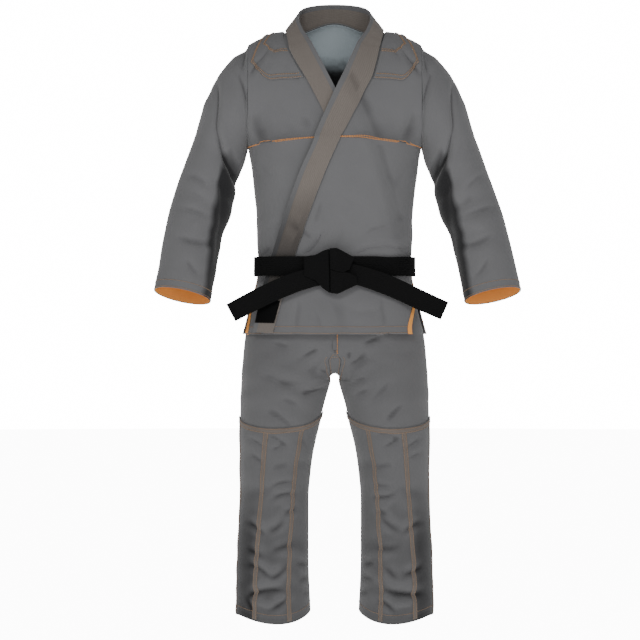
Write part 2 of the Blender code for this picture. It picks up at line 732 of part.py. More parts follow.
def make_fronts(side, word, back):
    """The upper and lower front of one side, and the tapes of its vent."""
    over = side > 0
    upper = place_front(SHOULDER_START, CHEST_DOWN, over)
    lower = place_front(CHEST_DOWN + SEAM_DOWN, 2.0, over)
    sew("front_upper_" + word, FRONT_COLUMNS, UPPER_ROWS, upper, JACKET_WALL, JACKET_GREY)
    front = sew("front_lower_" + word, FRONT_COLUMNS, LOWER_ROWS, lower, JACKET_WALL, JACKET_GREY)
    make_vent_tape("vent_tape_front_" + word, front, FRONT_COLUMNS, LOWER_VENT_ROW, LOWER_ROWS, True)
    make_vent_tape("vent_tape_back_" + word, back, BACK_COLUMNS, BACK_VENT_ROW, BACK_ROWS, over)


LAPEL_PATCH_TOP = -0.640
LAPEL_PATCH_FOOT = -0.692
LAPEL_PATCH_INSET = 0.03


def make_lapel_patch():
    """Bare patch near the lapel's lower end, laid on the lapel."""
    def place(u, v, lift):
        down = down_at(between(LAPEL_PATCH_TOP, LAPEL_PATCH_FOOT, v))
        angle = angle_at(lapel_x(OVER_LAPEL, between(LAPEL_PATCH_INSET, 1 - LAPEL_PATCH_INSET, u)), down)
        return moved_out(FRONT, angle, down, lift + OVER_LAPEL_LIFT + LAPEL_WALL + LAID_ON)

    sew("lapel_patch", 4, 3, place, FACING_WALL, BLACK)


def inner_x(height):
    return read_table(INSEAM, "inner_x", height)


def seam_share(height):
    """How far the centre seam stands out, as a share of the depth: it curves under to the crotch."""
    if height >= RISE_TOP:
        return 1.0
    down = min((RISE_TOP - height) / (RISE_TOP - CROTCH), 1.0)
    return math.sqrt(1 - down * down)


def leg_bow(share):
    return max(1 - min(share, 1.0) ** LEG_ROUNDNESS, 0.0) ** (1 / LEG_ROUNDNESS)


def leg_point(side, back):
    """A leg's bare surface. u runs from the centre seam or inseam to the side seam, v is the height."""
    facing = 1 if back else -1
    field = "back_depth" if back else "front_depth"

    def point(u, height):
        share = min(max(u, 0.0), 1.0)
        outer = read_table(LEG, "outer_x", height)
        depth = read_table(LEG, field, height)
        inner = inner_x(height)
        turn = math.pi * share
        middle, half = (inner + outer) / 2, (outer - inner) / 2
        leg_x = middle - half * math.cos(turn)
        leg_y = depth * leg_bow(abs(math.cos(turn)))
        quarter = RIGHT_ANGLE * share
        hip_x = inner + (outer - inner) * math.sin(quarter)
        hip_y = depth * leg_bow(math.sin(quarter))
        joined = seam_share(height)
        x = between(leg_x, hip_x, joined)
        y = between(leg_y, hip_y, joined)
        return Vector((side * x, facing * y, height))

    return point


def leg_surface(side, back):
    bare = leg_point(side, back)
    sense = side * (-1 if back else 1)
    smooth = Surface(bare, sense)
    face = "back" if back else "front"

    def point(u, height):
        spot = bare(u, height)
        fade = smooth_step(0.0, SEAM_FADE, u) * smooth_step(1.0, 1 - SEAM_FADE, u)
        fold = fold_height(LEG_FOLDS, face, abs(spot.x), spot.z) * fade
        return moved_out(smooth, u, height, fold) if abs(fold) > TINY else spot

    return Surface(point, sense)


def knee_height(u):
    """The knee panel's upper edge, lowest in the middle of the leg and rising to both seams."""
    to_seams = KNEE_SEAM_SIDES * (2 * u - 1) ** 2
    to_inseam = KNEE_SEAM_INSIDE * (1 - u) ** 3
    return KNEE_SEAM + to_seams + to_inseam


def hem_height(u, back):
    """The hem, lower in front and at the outer side."""
    drop = HEM_SIDE_DROP * u
    if not back:
        drop += HEM_FRONT_DROP * math.sin(math.pi * min(u * HEM_DROP_SPREAD, 1.0)) ** 1.5
    return LEG_HEM - drop


# Heights of the rows above the knee panel, close together at the crotch
THIGH_ROWS = [WAIST, -0.612, -0.655, -0.700, -0.732, -0.756, -0.777, -0.803, CROTCH, -0.852, -0.888]
KNEE_ROW = len(THIGH_ROWS)
LEG_ROWS = KNEE_ROW + 11
LEG_COLUMNS = 8
KNEE_PANEL_END = 0.999


def leg_height(u, v, back):
    """Height of a row of the leg at one column: row KNEE_ROW follows the knee panel's upper edge."""
    row = v * LEG_ROWS
    if row >= KNEE_ROW:
        return between(knee_height(u), hem_height(u, back), (row - KNEE_ROW) / (LEG_ROWS - KNEE_ROW))
    heights = THIGH_ROWS + [knee_height(u)]
    above = int(row)
    return between(heights[above], heights[above + 1], row - above)


def edge_inset(u):
    """Keeps the two seam edges of a leg piece half a seam apart from the next piece."""
    return between(LEG_INSET, 1 - LEG_INSET, u)


def make_legs(side, word):
    for back in (False, True):
        surface = leg_surface(side, back)

        def place(u, v, lift, surface=surface, back=back):
            return moved_out(surface, edge_inset(u), leg_height(u, v, back), lift)

        face = "back" if back else "front"
        sew("leg_%s_%s" % (face, word), LEG_COLUMNS, LEG_ROWS, place, TROUSER_WALL, TROUSER_GREY)

    front = leg_surface(side, False)

    def place_knee(u, v, lift):
        row = between(KNEE_ROW / LEG_ROWS, KNEE_PANEL_END, v)
        return moved_out(front, edge_inset(u), leg_height(u, row, False), lift + TROUSER_WALL + SEAM)

    sew("knee_panel_" + word, LEG_COLUMNS, LEG_ROWS - KNEE_ROW, place_knee, PATCH_WALL, TROUSER_GREY)


def make_gusset():
    """The diamond between the legs: rows go from its front tip, down through the crotch, to its back tip."""
    last = len(GUSSET_ROWS) - 1

    def place(u, v, lift):
        row = min(int(v * last + TINY), last - 1)
        height = between(GUSSET_ROWS[row], GUSSET_ROWS[row + 1], v * last - row)
        side = 1 if v > 0.5 else -1
        field = "back_depth" if v > 0.5 else "front_depth"
        out = seam_share(height)
        half = max(inner_x(height) - TROUSER_WALL - SEAM, GUSSET_TIP)
        across = 2 * u - 1
        rise = GUSSET_ARCH * smooth_step(GUSSET_ARCH_FROM, 0.0, out)
        depth = side * read_table(LEG, field, height) * out
        spot = Vector((half * across, depth, height + rise * (1 - across * across)))
        return spot + Vector((0, side * out, -math.sqrt(1 - out * out))) * lift

    sew("gusset", 6, last, place, TROUSER_WALL, TROUSER_GREY)


def make_waistband():
    def place(u, v, lift):
        angle = 2 * math.pi * u
        height = between(WAISTBAND_TOP, WAISTBAND_FOOT, v)
        surface = BACK if math.cos(angle) < 0 else FRONT
        across = math.asin(min(max(math.sin(angle), -1), 1)) * SHORT_OF_SIDE
        return moved_out(surface, across, down_at(height), lift - SEAM * 3 - WAISTBAND_WALL)

    sew("waistband", 40, 1, place, WAISTBAND_WALL, TROUSER_GREY, closed=True)


def make_belt_wrap():
    def place(u, v, lift):
        degrees = between(-180, 180, u)
        angle = math.radians(degrees)
        surface = BACK if math.cos(angle) < 0 else FRONT
        across = math.asin(min(max(math.sin(angle), -1), 1)) * SHORT_OF_SIDE
        extra = read_table(BELT, "lift", degrees)
        return moved_out(surface, across, down_at(between(BELT_TOP, BELT_FOOT, v)), lift + extra)

    sew("belt_wrap", 60, 2, place, BELT_WALL, BLACK, closed=True)


def make_strip(name, table, rows, wall):
    """A flat strip of belt through its stations, with its outer face to the front."""
    def place(u, v, lift):
        upper = Vector((read_stations(table, "upper_x", v), 0, read_stations(table, "upper_z", v)))
        lower = Vector((read_stations(table, "lower_x", v), 0, read_stations(table, "lower_z", v)))
        point = upper.lerp(lower, u)
        point.y = read_stations(table, "y", v) - lift
        return point

    sew(name, 2, rows, place, wall, BLACK)


for old in list(bpy.data.objects):
    bpy.data.objects.remove(old)
uniform = bpy.data.collections.new("judo_uniform")
bpy.context.scene.collection.children.link(uniform)

back_panel = sew("back", BACK_COLUMNS, BACK_ROWS, place_back, JACKET_WALL, JACKET_GREY)
make_yoke_lining()
sew("collar", 4, 76, collar_point, LAPEL_WALL, COLLAR_TAUPE)
make_lapel_patch()
make_waistband()
make_gusset()
make_belt_wrap()
make_strip("belt_tail_right", TAIL_RIGHT, 9, TAIL_WALL)
make_strip("belt_tail_left", TAIL_LEFT, 9, TAIL_WALL)
make_strip("knot_fan", KNOT_FAN, 6, TAIL_WALL)
make_strip("knot_over", KNOT_OVER, 6, TAIL_WALL)
make_strip("knot_under", KNOT_UNDER, 6, TAIL_WALL)
for side, word in ((1, "left"), (-1, "right")):
    make_fronts(side, word, back_panel)
    make_sleeve(side, word)
    make_shoulder_patch(side, word)
    make_legs(side, word)
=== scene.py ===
"""The looks of a judo uniform: jacket, trousers and belt, worn and hollow, with no wearer.

Each cloth piece is a thin shell on the form of its solid. The same named sizes give the form, and the
tables of creases add what shows from close by. Metres, +Z up, the front faces -Y, +X is the wearer's left.
"""

import math
from collections import namedtuple

import bpy
import numpy as np
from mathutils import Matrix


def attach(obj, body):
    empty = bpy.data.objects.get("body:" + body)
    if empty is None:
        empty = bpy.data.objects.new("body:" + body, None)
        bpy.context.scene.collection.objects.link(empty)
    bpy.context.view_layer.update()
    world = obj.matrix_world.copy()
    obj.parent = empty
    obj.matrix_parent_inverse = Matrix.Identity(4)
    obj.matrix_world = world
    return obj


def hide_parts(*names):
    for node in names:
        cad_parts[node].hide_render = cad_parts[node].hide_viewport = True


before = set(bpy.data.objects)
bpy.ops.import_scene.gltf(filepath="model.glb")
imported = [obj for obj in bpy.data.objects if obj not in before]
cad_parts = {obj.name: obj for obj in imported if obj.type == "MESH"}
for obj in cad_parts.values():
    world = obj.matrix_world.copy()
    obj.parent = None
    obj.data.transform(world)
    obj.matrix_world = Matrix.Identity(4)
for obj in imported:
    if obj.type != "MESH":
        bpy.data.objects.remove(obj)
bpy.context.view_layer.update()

# Cloth thicknesses and clearances
JACKET_WALL = 0.0018
TROUSER_WALL = 0.0015
LAPEL_WALL = 0.0045
FACING_WALL = 0.0010
PATCH_WALL = 0.0014
BELT_WALL = 0.0050
TAIL_WALL = 0.0045
SEAM = 0.0004
LAID_ON = 0.0008
COLLAR_LAID_ON = 0.0014
NECK_LAID_ON = 0.0034
PATCH_LAID_ON = 0.0016

# Heights of the jacket
UNDERARM = -0.269
JACKET_HEM = -0.716
CHEST_SEAM_RISE = 0.016
CHEST_SEAM_REACH = 0.22
BELT_TOP = -0.533
BELT_FOOT = -0.577

# Shoulder line and neck
TIP_X = 0.2055
TIP_HEIGHT = -0.025
SHOULDER_RISE = 0.030
BEYOND_SEAM_SLOPE = 0.34
NECK_HALF = 0.105
BACK_NECK_RISE = 0.031
BACK_NECK_DEPTH = 0.072

# Armhole, an upright loop at the end of the shoulder
ARMHOLE_MIDDLE = (TIP_HEIGHT + UNDERARM) / 2
ARMHOLE_RISE = (TIP_HEIGHT - UNDERARM) / 2
ARMHOLE_DEPTH = 0.082

# Layers of the front, lowest to highest: under front, under lapel, over front, over lapel
OVER_FRONT_LIFT = 0.0092
OVER_FRONT_CLEAR = 0.014
OVER_FRONT_BLEND = 0.056
OVER_LAPEL_LIFT = OVER_FRONT_LIFT + JACKET_WALL + COLLAR_LAID_ON

ROUNDNESS = 2.3
YOKE_FULL_FROM = 0.72
STEP = 1e-4
NO_LENGTH = 1e-12
ASIN_LIMIT = 0.9999
EDGE_ROUNDS = 6
RIGHT_ANGLE = math.pi / 2

YokeSection = namedtuple("YokeSection", "share front_depth back_depth")
YOKE = [
    YokeSection(0.00, 0.000, 0.000),
    YokeSection(0.10, 0.034, 0.036),
    YokeSection(0.20, 0.060, 0.064),
    YokeSection(0.30, 0.081, 0.084),
    YokeSection(0.45, 0.104, 0.101),
    YokeSection(0.60, 0.118, 0.111),
    YokeSection(0.80, 0.127, 0.117),
    YokeSection(1.00, 0.128, 0.118),
]

BodySection = namedtuple("BodySection", "height half_width front_depth back_depth")
BODY = [
    BodySection(-0.269, 0.2055, 0.128, 0.118),
    BodySection(-0.326, 0.1965, 0.127, 0.114),
    BodySection(-0.384, 0.1900, 0.123, 0.108),
    BodySection(-0.442, 0.1850, 0.118, 0.103),
    BodySection(-0.499, 0.1838, 0.113, 0.101),
    BodySection(-0.533, 0.1820, 0.110, 0.100),
    BodySection(-0.577, 0.1825, 0.110, 0.102),
    BodySection(-0.625, 0.1930, 0.116, 0.112),
    BodySection(-0.670, 0.2050, 0.122, 0.120),
    BodySection(-0.716, 0.2180, 0.127, 0.127),
]

LapelEdge = namedtuple("LapelEdge", "height outer_x inner_x")
OVER_LAPEL = [
    LapelEdge(0.020, 0.118, 0.073),
    LapelEdge(-0.005, 0.113, 0.0617),
    LapelEdge(-0.106, 0.0876, 0.0164),
    LapelEdge(-0.134, 0.0732, 0.0036),
    LapelEdge(-0.252, 0.0132, -0.0458),
    LapelEdge(-0.343, -0.0265, -0.0840),
    LapelEdge(-0.528, -0.0900, -0.1400),
    LapelEdge(-0.720, -0.1420, -0.1850),
]
UNDER_LAPEL = [
    LapelEdge(0.020, -0.121, -0.077),
    LapelEdge(-0.005, -0.119, -0.0645),
    LapelEdge(-0.137, -0.0537, 0.0012),
    LapelEdge(-0.192, -0.0264, 0.0280),
    LapelEdge(-0.343, 0.0260, 0.0770),
    LapelEdge(-0.528, 0.0720, 0.1220),
    LapelEdge(-0.720, 0.0950, 0.1450),
]

# The collar where it stands round the neck: its lower edge lies on the shoulder, its upper edge stands free
NeckStation = namedtuple("NeckStation", "side share lower_x upper_x upper_y upper_z")
NECK = [
    NeckStation(-1, 0.17, 0.112, 0.075, -0.040, 0.006),
    NeckStation(-1, 0.09, 0.114, 0.082, -0.022, 0.026),
    NeckStation(-1, 0.01, 0.114, 0.085, 0.000, 0.042),
    NeckStation(1, 0.06, 0.106, 0.081, 0.026, 0.058),
    NeckStation(1, 0.08, 0.082, 0.065, 0.048, 0.071),
    NeckStation(1, 0.08, 0.045, 0.036, 0.062, 0.078),
    NeckStation(1, 0.08, 0.000, 0.000, 0.067, 0.080),
]

SleeveRing = namedtuple("SleeveRing", "outer_x outer_z inner_x inner_z middle_y half_depth")
SLEEVE = [
    SleeveRing(0.2060, -0.025, 0.2097, -0.269, 0.000, 0.082),
    SleeveRing(0.2400, -0.054, 0.2128, -0.286, 0.000, 0.082),
    SleeveRing(0.2770, -0.098, 0.2175, -0.305, -0.001, 0.080),
    SleeveRing(0.3060, -0.158, 0.2250, -0.326, -0.003, 0.078),
    SleeveRing(0.3320, -0.235, 0.2345, -0.350, -0.006, 0.075),
    SleeveRing(0.3550, -0.305, 0.2400, -0.392, -0.012, 0.072),
    SleeveRing(0.3780, -0.372, 0.2500, -0.432, -0.022, 0.069),
    SleeveRing(0.3960, -0.437, 0.2640, -0.472, -0.036, 0.066),
    SleeveRing(0.4080, -0.505, 0.2770, -0.530, -0.053, 0.061),
    SleeveRing(0.4180, -0.565, 0.2870, -0.588, -0.070, 0.057),
    SleeveRing(0.4260, -0.612, 0.2955, -0.638, -0.084, 0.053),
]
SLEEVE_TILT = 0.30
ARMHOLE_BLEND = 0.1
LEFT_SLEEVE_SPREAD = 0.013
SPREAD_FROM = -0.33
SPREAD_TO = -0.61
CUFF_FACING_SHARE = 0.875
CUFF_FACING_END = 0.997
SLEEVE_LENGTH = 0.68
METRES_A_DEGREE = 0.0012
SEAM_FADE = 0.12

# The seam allowance inside an armhole: its share of the sleeve's length and its reach into the body
ALLOWANCE_SHARE = 0.018
ALLOWANCE_WIDTH = 0.011

LegSection = namedtuple("LegSection", "height outer_x front_depth back_depth")
LEG = [
    LegSection(-0.500, 0.1785, 0.105, 0.095),
    LegSection(-0.577, 0.1785, 0.105, 0.096),
    LegSection(-0.625, 0.1885, 0.110, 0.106),
    LegSection(-0.670, 0.2000, 0.114, 0.113),
    LegSection(-0.716, 0.2120, 0.117, 0.119),
    LegSection(-0.796, 0.2200, 0.115, 0.118),
    LegSection(-0.874, 0.2240, 0.109, 0.108),
    LegSection(-0.950, 0.2250, 0.102, 0.098),
    LegSection(-1.046, 0.2240, 0.096, 0.090),
    LegSection(-1.150, 0.2260, 0.090, 0.087),
    LegSection(-1.250, 0.2310, 0.087, 0.084),
    LegSection(-1.390, 0.2340, 0.084, 0.078),
]
InseamPoint = namedtuple("InseamPoint", "height inner_x")
INSEAM = [
    InseamPoint(-0.500, 0.0002),
    InseamPoint(-0.756, 0.0002),
    InseamPoint(-0.777, 0.0160),
    InseamPoint(-0.803, 0.0120),
    InseamPoint(-0.826, 0.0110),
    InseamPoint(-0.845, 0.0155),
    InseamPoint(-0.874, 0.0240),
    InseamPoint(-0.931, 0.0385),
    InseamPoint(-0.989, 0.0525),
    InseamPoint(-1.046, 0.0605),
    InseamPoint(-1.110, 0.0655),
    InseamPoint(-1.250, 0.0655),
    InseamPoint(-1.390, 0.0600),
]
WAIST = -0.5730
RISE_TOP = -0.700
CROTCH = -0.826
LEG_HEM = -1.376
HEM_FRONT_DROP = 0.022
HEM_SIDE_DROP = 0.010
HEM_DROP_SPREAD = 1.15
LEG_INSET = 0.0012
KNEE_SEAM = -0.938
KNEE_SEAM_SIDES = 0.0275
KNEE_SEAM_INSIDE = 0.0125
LEG_ROUNDNESS = 2.2
WAISTBAND_WALL = 0.0028
SHORT_OF_SIDE = 0.9999
GUSSET_ARCH = 0.022
GUSSET_ARCH_FROM = 0.65
GUSSET_TIP = 0.0009
GUSSET_ROWS = [-0.7585, -0.777, -0.803, CROTCH, -0.803, -0.777, -0.7585]
WAISTBAND_TOP = -0.5300
WAISTBAND_FOOT = WAIST + SEAM

BeltLift = namedtuple("BeltLift", "angle lift")
BELT = [
    BeltLift(-180, 0.0038),
    BeltLift(-90, 0.0038),
    BeltLift(-63, 0.0184),
    BeltLift(-32, 0.0182),
    BeltLift(-18, 0.0120),
    BeltLift(48, 0.0130),
    BeltLift(80, 0.0072),
    BeltLift(112, 0.0038),
    BeltLift(180, 0.0038),
]

# Strips of the belt: each station gives its upper and lower edge and its depth in front
StripStation = namedtuple("StripStation", "upper_x upper_z lower_x lower_z y")
TAIL_RIGHT = [
    StripStation(-0.006, -0.545, -0.002, -0.592, -0.1275),
    StripStation(-0.060, -0.561, -0.044, -0.602, -0.1325),
    StripStation(-0.110, -0.576, -0.092, -0.617, -0.1310),
    StripStation(-0.160, -0.597, -0.142, -0.638, -0.1190),
    StripStation(-0.210, -0.621, -0.190, -0.661, -0.1000),
    StripStation(-0.255, -0.645, -0.234, -0.684, -0.0810),
]
TAIL_LEFT = [
    StripStation(0.016, -0.545, 0.012, -0.592, -0.1275),
    StripStation(0.075, -0.560, 0.058, -0.601, -0.1325),
    StripStation(0.120, -0.574, 0.102, -0.616, -0.1240),
    StripStation(0.165, -0.593, 0.147, -0.634, -0.1100),
    StripStation(0.215, -0.616, 0.196, -0.657, -0.0910),
    StripStation(0.268, -0.640, 0.250, -0.680, -0.0720),
]
KNOT_FAN = [
    StripStation(-0.072, -0.534, -0.072, -0.577, -0.1375),
    StripStation(-0.045, -0.530, -0.045, -0.588, -0.1390),
    StripStation(-0.026, -0.520, -0.026, -0.608, -0.1425),
    StripStation(-0.014, -0.516, -0.012, -0.618, -0.1455),
]
KNOT_OVER = [
    StripStation(-0.012, -0.515, -0.010, -0.5612, -0.1487),
    StripStation(0.003, -0.514, 0.006, -0.5672, -0.1512),
    StripStation(0.022, -0.524, 0.018, -0.5692, -0.1462),
    StripStation(0.044, -0.536, 0.032, -0.5612, -0.1392),
]
KNOT_UNDER = [
    StripStation(-0.010, -0.563, -0.010, -0.618, -0.1446),
    StripStation(0.008, -0.569, 0.006, -0.620, -0.1456),
    StripStation(0.030, -0.572, 0.030, -0.608, -0.1416),
    StripStation(0.050, -0.582, 0.052, -0.597, -0.1366),
]

# The turn of the belt inside the knot, which closes the slit between its folds
KNOT_CORE = [
    StripStation(-0.0165, -0.5170, -0.0165, -0.6170, -0.1395),
    StripStation(-0.0060, -0.5170, -0.0060, -0.6170, -0.1395),
]

# Largest folds, as in the solids
Fold = namedtuple("Fold", "side across along slant length width depth")
BODY_FOLDS = [
    Fold("front", 0.145, -0.500, 35, 0.085, 0.016, 0.0040),
    Fold("front", -0.065, -0.480, -40, 0.080, 0.015, -0.0040),
    Fold("front", 0.165, -0.330, 62, 0.090, 0.018, -0.0035),
    Fold("front", -0.165, -0.330, -62, 0.090, 0.018, -0.0035),
    Fold("front", 0.060, -0.660, 82, 0.090, 0.026, 0.0035),
    Fold("back", 0.090, -0.480, 30, 0.110, 0.020, -0.0050),
    Fold("back", -0.100, -0.470, -34, 0.120, 0.020, -0.0050),
    Fold("back", 0.000, -0.640, 88, 0.110, 0.030, 0.0050),
    Fold("back", 0.120, -0.640, 84, 0.110, 0.024, -0.0040),
    Fold("back", -0.115, -0.645, 96, 0.110, 0.024, -0.0040),
]
SLEEVE_FOLDS = [
    Fold("ring", 118, 0.36, -30, 0.150, 0.030, -0.0060),
    Fold("ring", 140, 0.52, 12, 0.110, 0.024, -0.0055),
    Fold("ring", 95, 0.62, 20, 0.100, 0.022, -0.0040),
    Fold("ring", 150, 0.74, -14, 0.110, 0.022, -0.0040),
    Fold("ring", 230, 0.45, 15, 0.120, 0.026, -0.0055),
    Fold("ring", 250, 0.66, -18, 0.120, 0.024, -0.0045),
]
LEG_FOLDS = [
    Fold("front", 0.075, -0.850, 24, 0.080, 0.018, -0.0045),
    Fold("front", 0.060, -1.030, 14, 0.090, 0.020, -0.0040),
    Fold("front", 0.180, -1.090, -16, 0.080, 0.020, -0.0040),
    Fold("front", 0.110, -1.210, 12, 0.090, 0.020, -0.0045),
    Fold("front", 0.150, -1.330, -10, 0.100, 0.020, -0.0060),
    Fold("back", 0.110, -0.870, -20, 0.110, 0.020, -0.0050),
    Fold("back", 0.100, -1.060, 8, 0.110, 0.022, -0.0060),
    Fold("back", 0.160, -1.200, -14, 0.100, 0.020, -0.0050),
    Fold("back", 0.130, -1.320, 10, 0.100, 0.020, -0.0060),
]

# Smaller creases, in millimetres: both ends, how far the middle bows out, half-width and depth
Crease = namedtuple("Crease", "side x z end_x end_z bend width depth")
BODY_BACK_CREASES = [
    Crease("back", -60, -520, -150, -440, -8, 9, -3.4),
    Crease("back", -20, -528, -70, -455, -6, 8, -3.0),
    Crease("back", 40, -524, 96, -452, 6, 9, -3.2),
    Crease("back", 86, -522, 160, -462, 6, 8, -3.0),
    Crease("back", -170, -300, -120, -360, 6, 12, -3.0),
    Crease("back", 172, -296, 118, -372, -6, 12, -3.2),
    Crease("back", -186, -160, -140, -236, -8, 14, -3.6),
    Crease("back", 184, -168, 136, -230, 8, 14, -3.4),
    Crease("back", -70, -600, -84, -700, 0, 14, -3.0),
    Crease("back", 30, -598, 44, -702, 0, 15, 2.6),
    Crease("back", 92, -606, 112, -704, 0, 13, -3.0),
    Crease("back", -40, -400, 60, -384, 8, 16, -1.8),
    Crease("back", 150, -410, 70, -432, -5, 10, -2.2),
    Crease("back", -140, -396, -84, -424, 5, 10, -2.2),
]
SLEEVE_BACK_CREASES = [
    Crease("back", -300, -130, -262, -250, -6, 9, -3.6),
    Crease("back", -330, -236, -262, -300, 4, 8, -3.4),
    Crease("back", -352, -320, -278, -352, -5, 9, -4.0),
    Crease("back", -366, -392, -296, -404, 4, 8, -3.2),
    Crease("back", -384, -470, -318, -500, -4, 9, -2.6),
    Crease("back", -390, -560, -330, -548, 3, 9, -2.0),
    Crease("back", 302, -136, 266, -244, 6, 9, -3.4),
    Crease("back", 334, -246, 266, -296, -4, 8, -3.4),
    Crease("back", 354, -330, 284, -350, 5, 9, -4.0),
    Crease("back", 378, -388, 306, -410, -4, 8, -3.0),
    Crease("back", 396, -474, 330, -496, 4, 9, -2.6),
    Crease("back", 404, -566, 344, -552, -3, 9, -2.0),
]
LEG_BACK_CREASES = [
    Crease("back", -30, -830, -104, -868, 5, 9, -3.6),
    Crease("back", -190, -850, -120, -884, -5, 10, -3.0),
    Crease("back", -60, -900, -136, -922, 4, 9, -2.8),
    Crease("back", -196, -990, -110, -1004, -5, 9, -3.6),
    Crease("back", -82, -1030, -160, -1046, 4, 9, -3.8),
    Crease("back", -200, -1078, -120, -1088, -4, 8, -3.0),
    Crease("back", -90, -1130, -170, -1150, 5, 9, -2.6),
    Crease("back", -206, -1220, -120, -1240, -5, 9, -3.0),
    Crease("back", -88, -1270, -180, -1288, 5, 9, -3.2),
    Crease("back", -206, -1322, -110, -1338, -6, 8, -4.2),
    Crease("back", 28, -838, 100, -862, -5, 9, -3.4),
    Crease("back", 188, -846, 124, -890, 5, 10, -3.0),
    Crease("back", 56, -906, 130, -926, -4, 9, -2.8),
    Crease("back", 198, -984, 116, -1008, 5, 9, -3.4),
    Crease("back", 80, -1036, 156, -1042, -4, 9, -3.8),
    Crease("back", 202, -1084, 124, -1094, 4, 8, -3.0),
    Crease("back", 92, -1136, 168, -1146, -5, 9, -2.6),
    Crease("back", 208, -1226, 126, -1236, 5, 9, -3.0),
    Crease("back", 90, -1276, 178, -1292, -5, 9, -3.2),
    Crease("back", 206, -1318, 114, -1334, 6, 8, -4.2),
]
BODY_CREASES = [
    Crease("front", -152, -29, -189, -80, 4, 5, -3.2),
    Crease("front", -182, -73, -201, -101, 0, 5, -2.4),
    Crease("front", -133, -34, -152, -59, 0, 7, -2.6),
    Crease("front", -154, -64, -173, -94, 0, 7, -2),
    Crease("front", -189, -187, -166, -264, -6, 17, -5),
    Crease("front", -72, -201, -56, -236, 0, 10, -1.2),
    Crease("front", -100, -90, -82, -118, 0, 9, -1.2),
    Crease("front", 154, -29, 191, -83, -4, 5, -3),
    Crease("front", 177, -71, 203, -104, 0, 6, -2.4),
    Crease("front", 133, -36, 152, -62, 0, 7, -2.4),
    Crease("front", 189, -183, 163, -260, 6, 17, -4.6),
    Crease("front", 40, -211, 58, -248, 0, 12, -1.2),
    Crease("front", -26, -474, -65, -535, 2, 7, -3.2),
    Crease("front", -49, -502, -75, -535, 0, 6, -2.4),
    Crease("front", -35, -397, -56, -458, 0, 12, -2),
    Crease("front", 2, -453, -30, -500, 0, 12, 1.6),
    Crease("front", 42, -533, 100, -509, 5, 5, -3.2),
    Crease("front", 96, -509, 166, -513, 3, 5, -3),
    Crease("front", 138, -514, 161, -523, 0, 5, -1.6),
    Crease("front", 68, -477, 133, -460, 4, 11, -2),
    Crease("front", 114, -451, 170, -437, 0, 12, -1.6),
    Crease("front", -152, -509, -170, -528, 0, 8, -1.8),
    Crease("front", -180, -460, -124, -435, 0, 14, 1.4),
    Crease("front", 40, -661, 100, -659, -3, 11, -1.6),
    Crease("front", -82, -635, -91, -708, 0, 12, -1.8),
    Crease("front", -30, -642, -12, -705, 0, 13, 1.8),
    Crease("front", 105, -626, 114, -705, 0, 12, -1.6),
    Crease("front", 23, -355, 86, -402, 0, 26, 1.6),
    Crease("front", 117, -332, 161, -369, 0, 18, -1.4),
] + BODY_BACK_CREASES
SLEEVE_CREASES = [
    Crease("front", -281, -119, -283, -228, 3, 5, -4.6),
    Crease("front", -282, -218, -243, -341, -6, 5, -5),
    Crease("front", -248, -322, -227, -374, -2, 6, -4.6),
    Crease("front", -231, -95, -203, -211, 4, 5, -3.6),
    Crease("front", -214, -36, -222, -95, 0, 5, -3.8),
    Crease("front", -201, -204, -208, -273, 4, 7, -3),
    Crease("front", -267, -332, -267, -408, 0, 9, -3),
    Crease("front", -267, -393, -286, -559, 4, 7, -2.6),
    Crease("front", -352, -337, -300, -367, 3, 9, -2.6),
    Crease("front", -366, -417, -295, -438, 3, 8, -2.4),
    Crease("front", -371, -488, -290, -505, -3, 8, -2.8),
    Crease("front", -350, -538, -321, -578, -3, 8, -1.8),
    Crease("front", -328, -185, -338, -280, 0, 14, -1.6),
    Crease("front", -246, -133, -234, -209, 0, 12, 2.2),
    Crease("front", -319, -143, -300, -190, 0, 12, 1.6),
    Crease("front", -314, -450, -343, -460, 0, 12, 1.4),
    Crease("front", 280, -119, 282, -228, -3, 5, -4.2),
    Crease("front", 280, -218, 242, -341, 6, 5, -4.8),
    Crease("front", 244, -318, 225, -374, 2, 6, -4.4),
    Crease("front", 230, -95, 204, -211, -4, 5, -3.4),
    Crease("front", 211, -43, 220, -100, 0, 5, -3.2),
    Crease("front", 199, -204, 206, -273, -4, 7, -3),
    Crease("front", 265, -332, 265, -408, 0, 9, -3),
    Crease("front", 268, -393, 289, -559, -4, 7, -2.6),
    Crease("front", 353, -337, 310, -372, -3, 9, -2.6),
    Crease("front", 379, -412, 303, -438, -3, 8, -2.4),
    Crease("front", 370, -483, 299, -507, 4, 8, -2.8),
    Crease("front", 360, -538, 329, -580, 3, 8, -1.8),
    Crease("front", 329, -185, 339, -280, 0, 14, -1.6),
    Crease("front", 244, -133, 235, -209, 0, 12, 2.2),
    Crease("front", 315, -143, 299, -190, 0, 12, 1.6),
    Crease("front", 325, -450, 353, -464, 0, 12, 1.4),
] + SLEEVE_BACK_CREASES
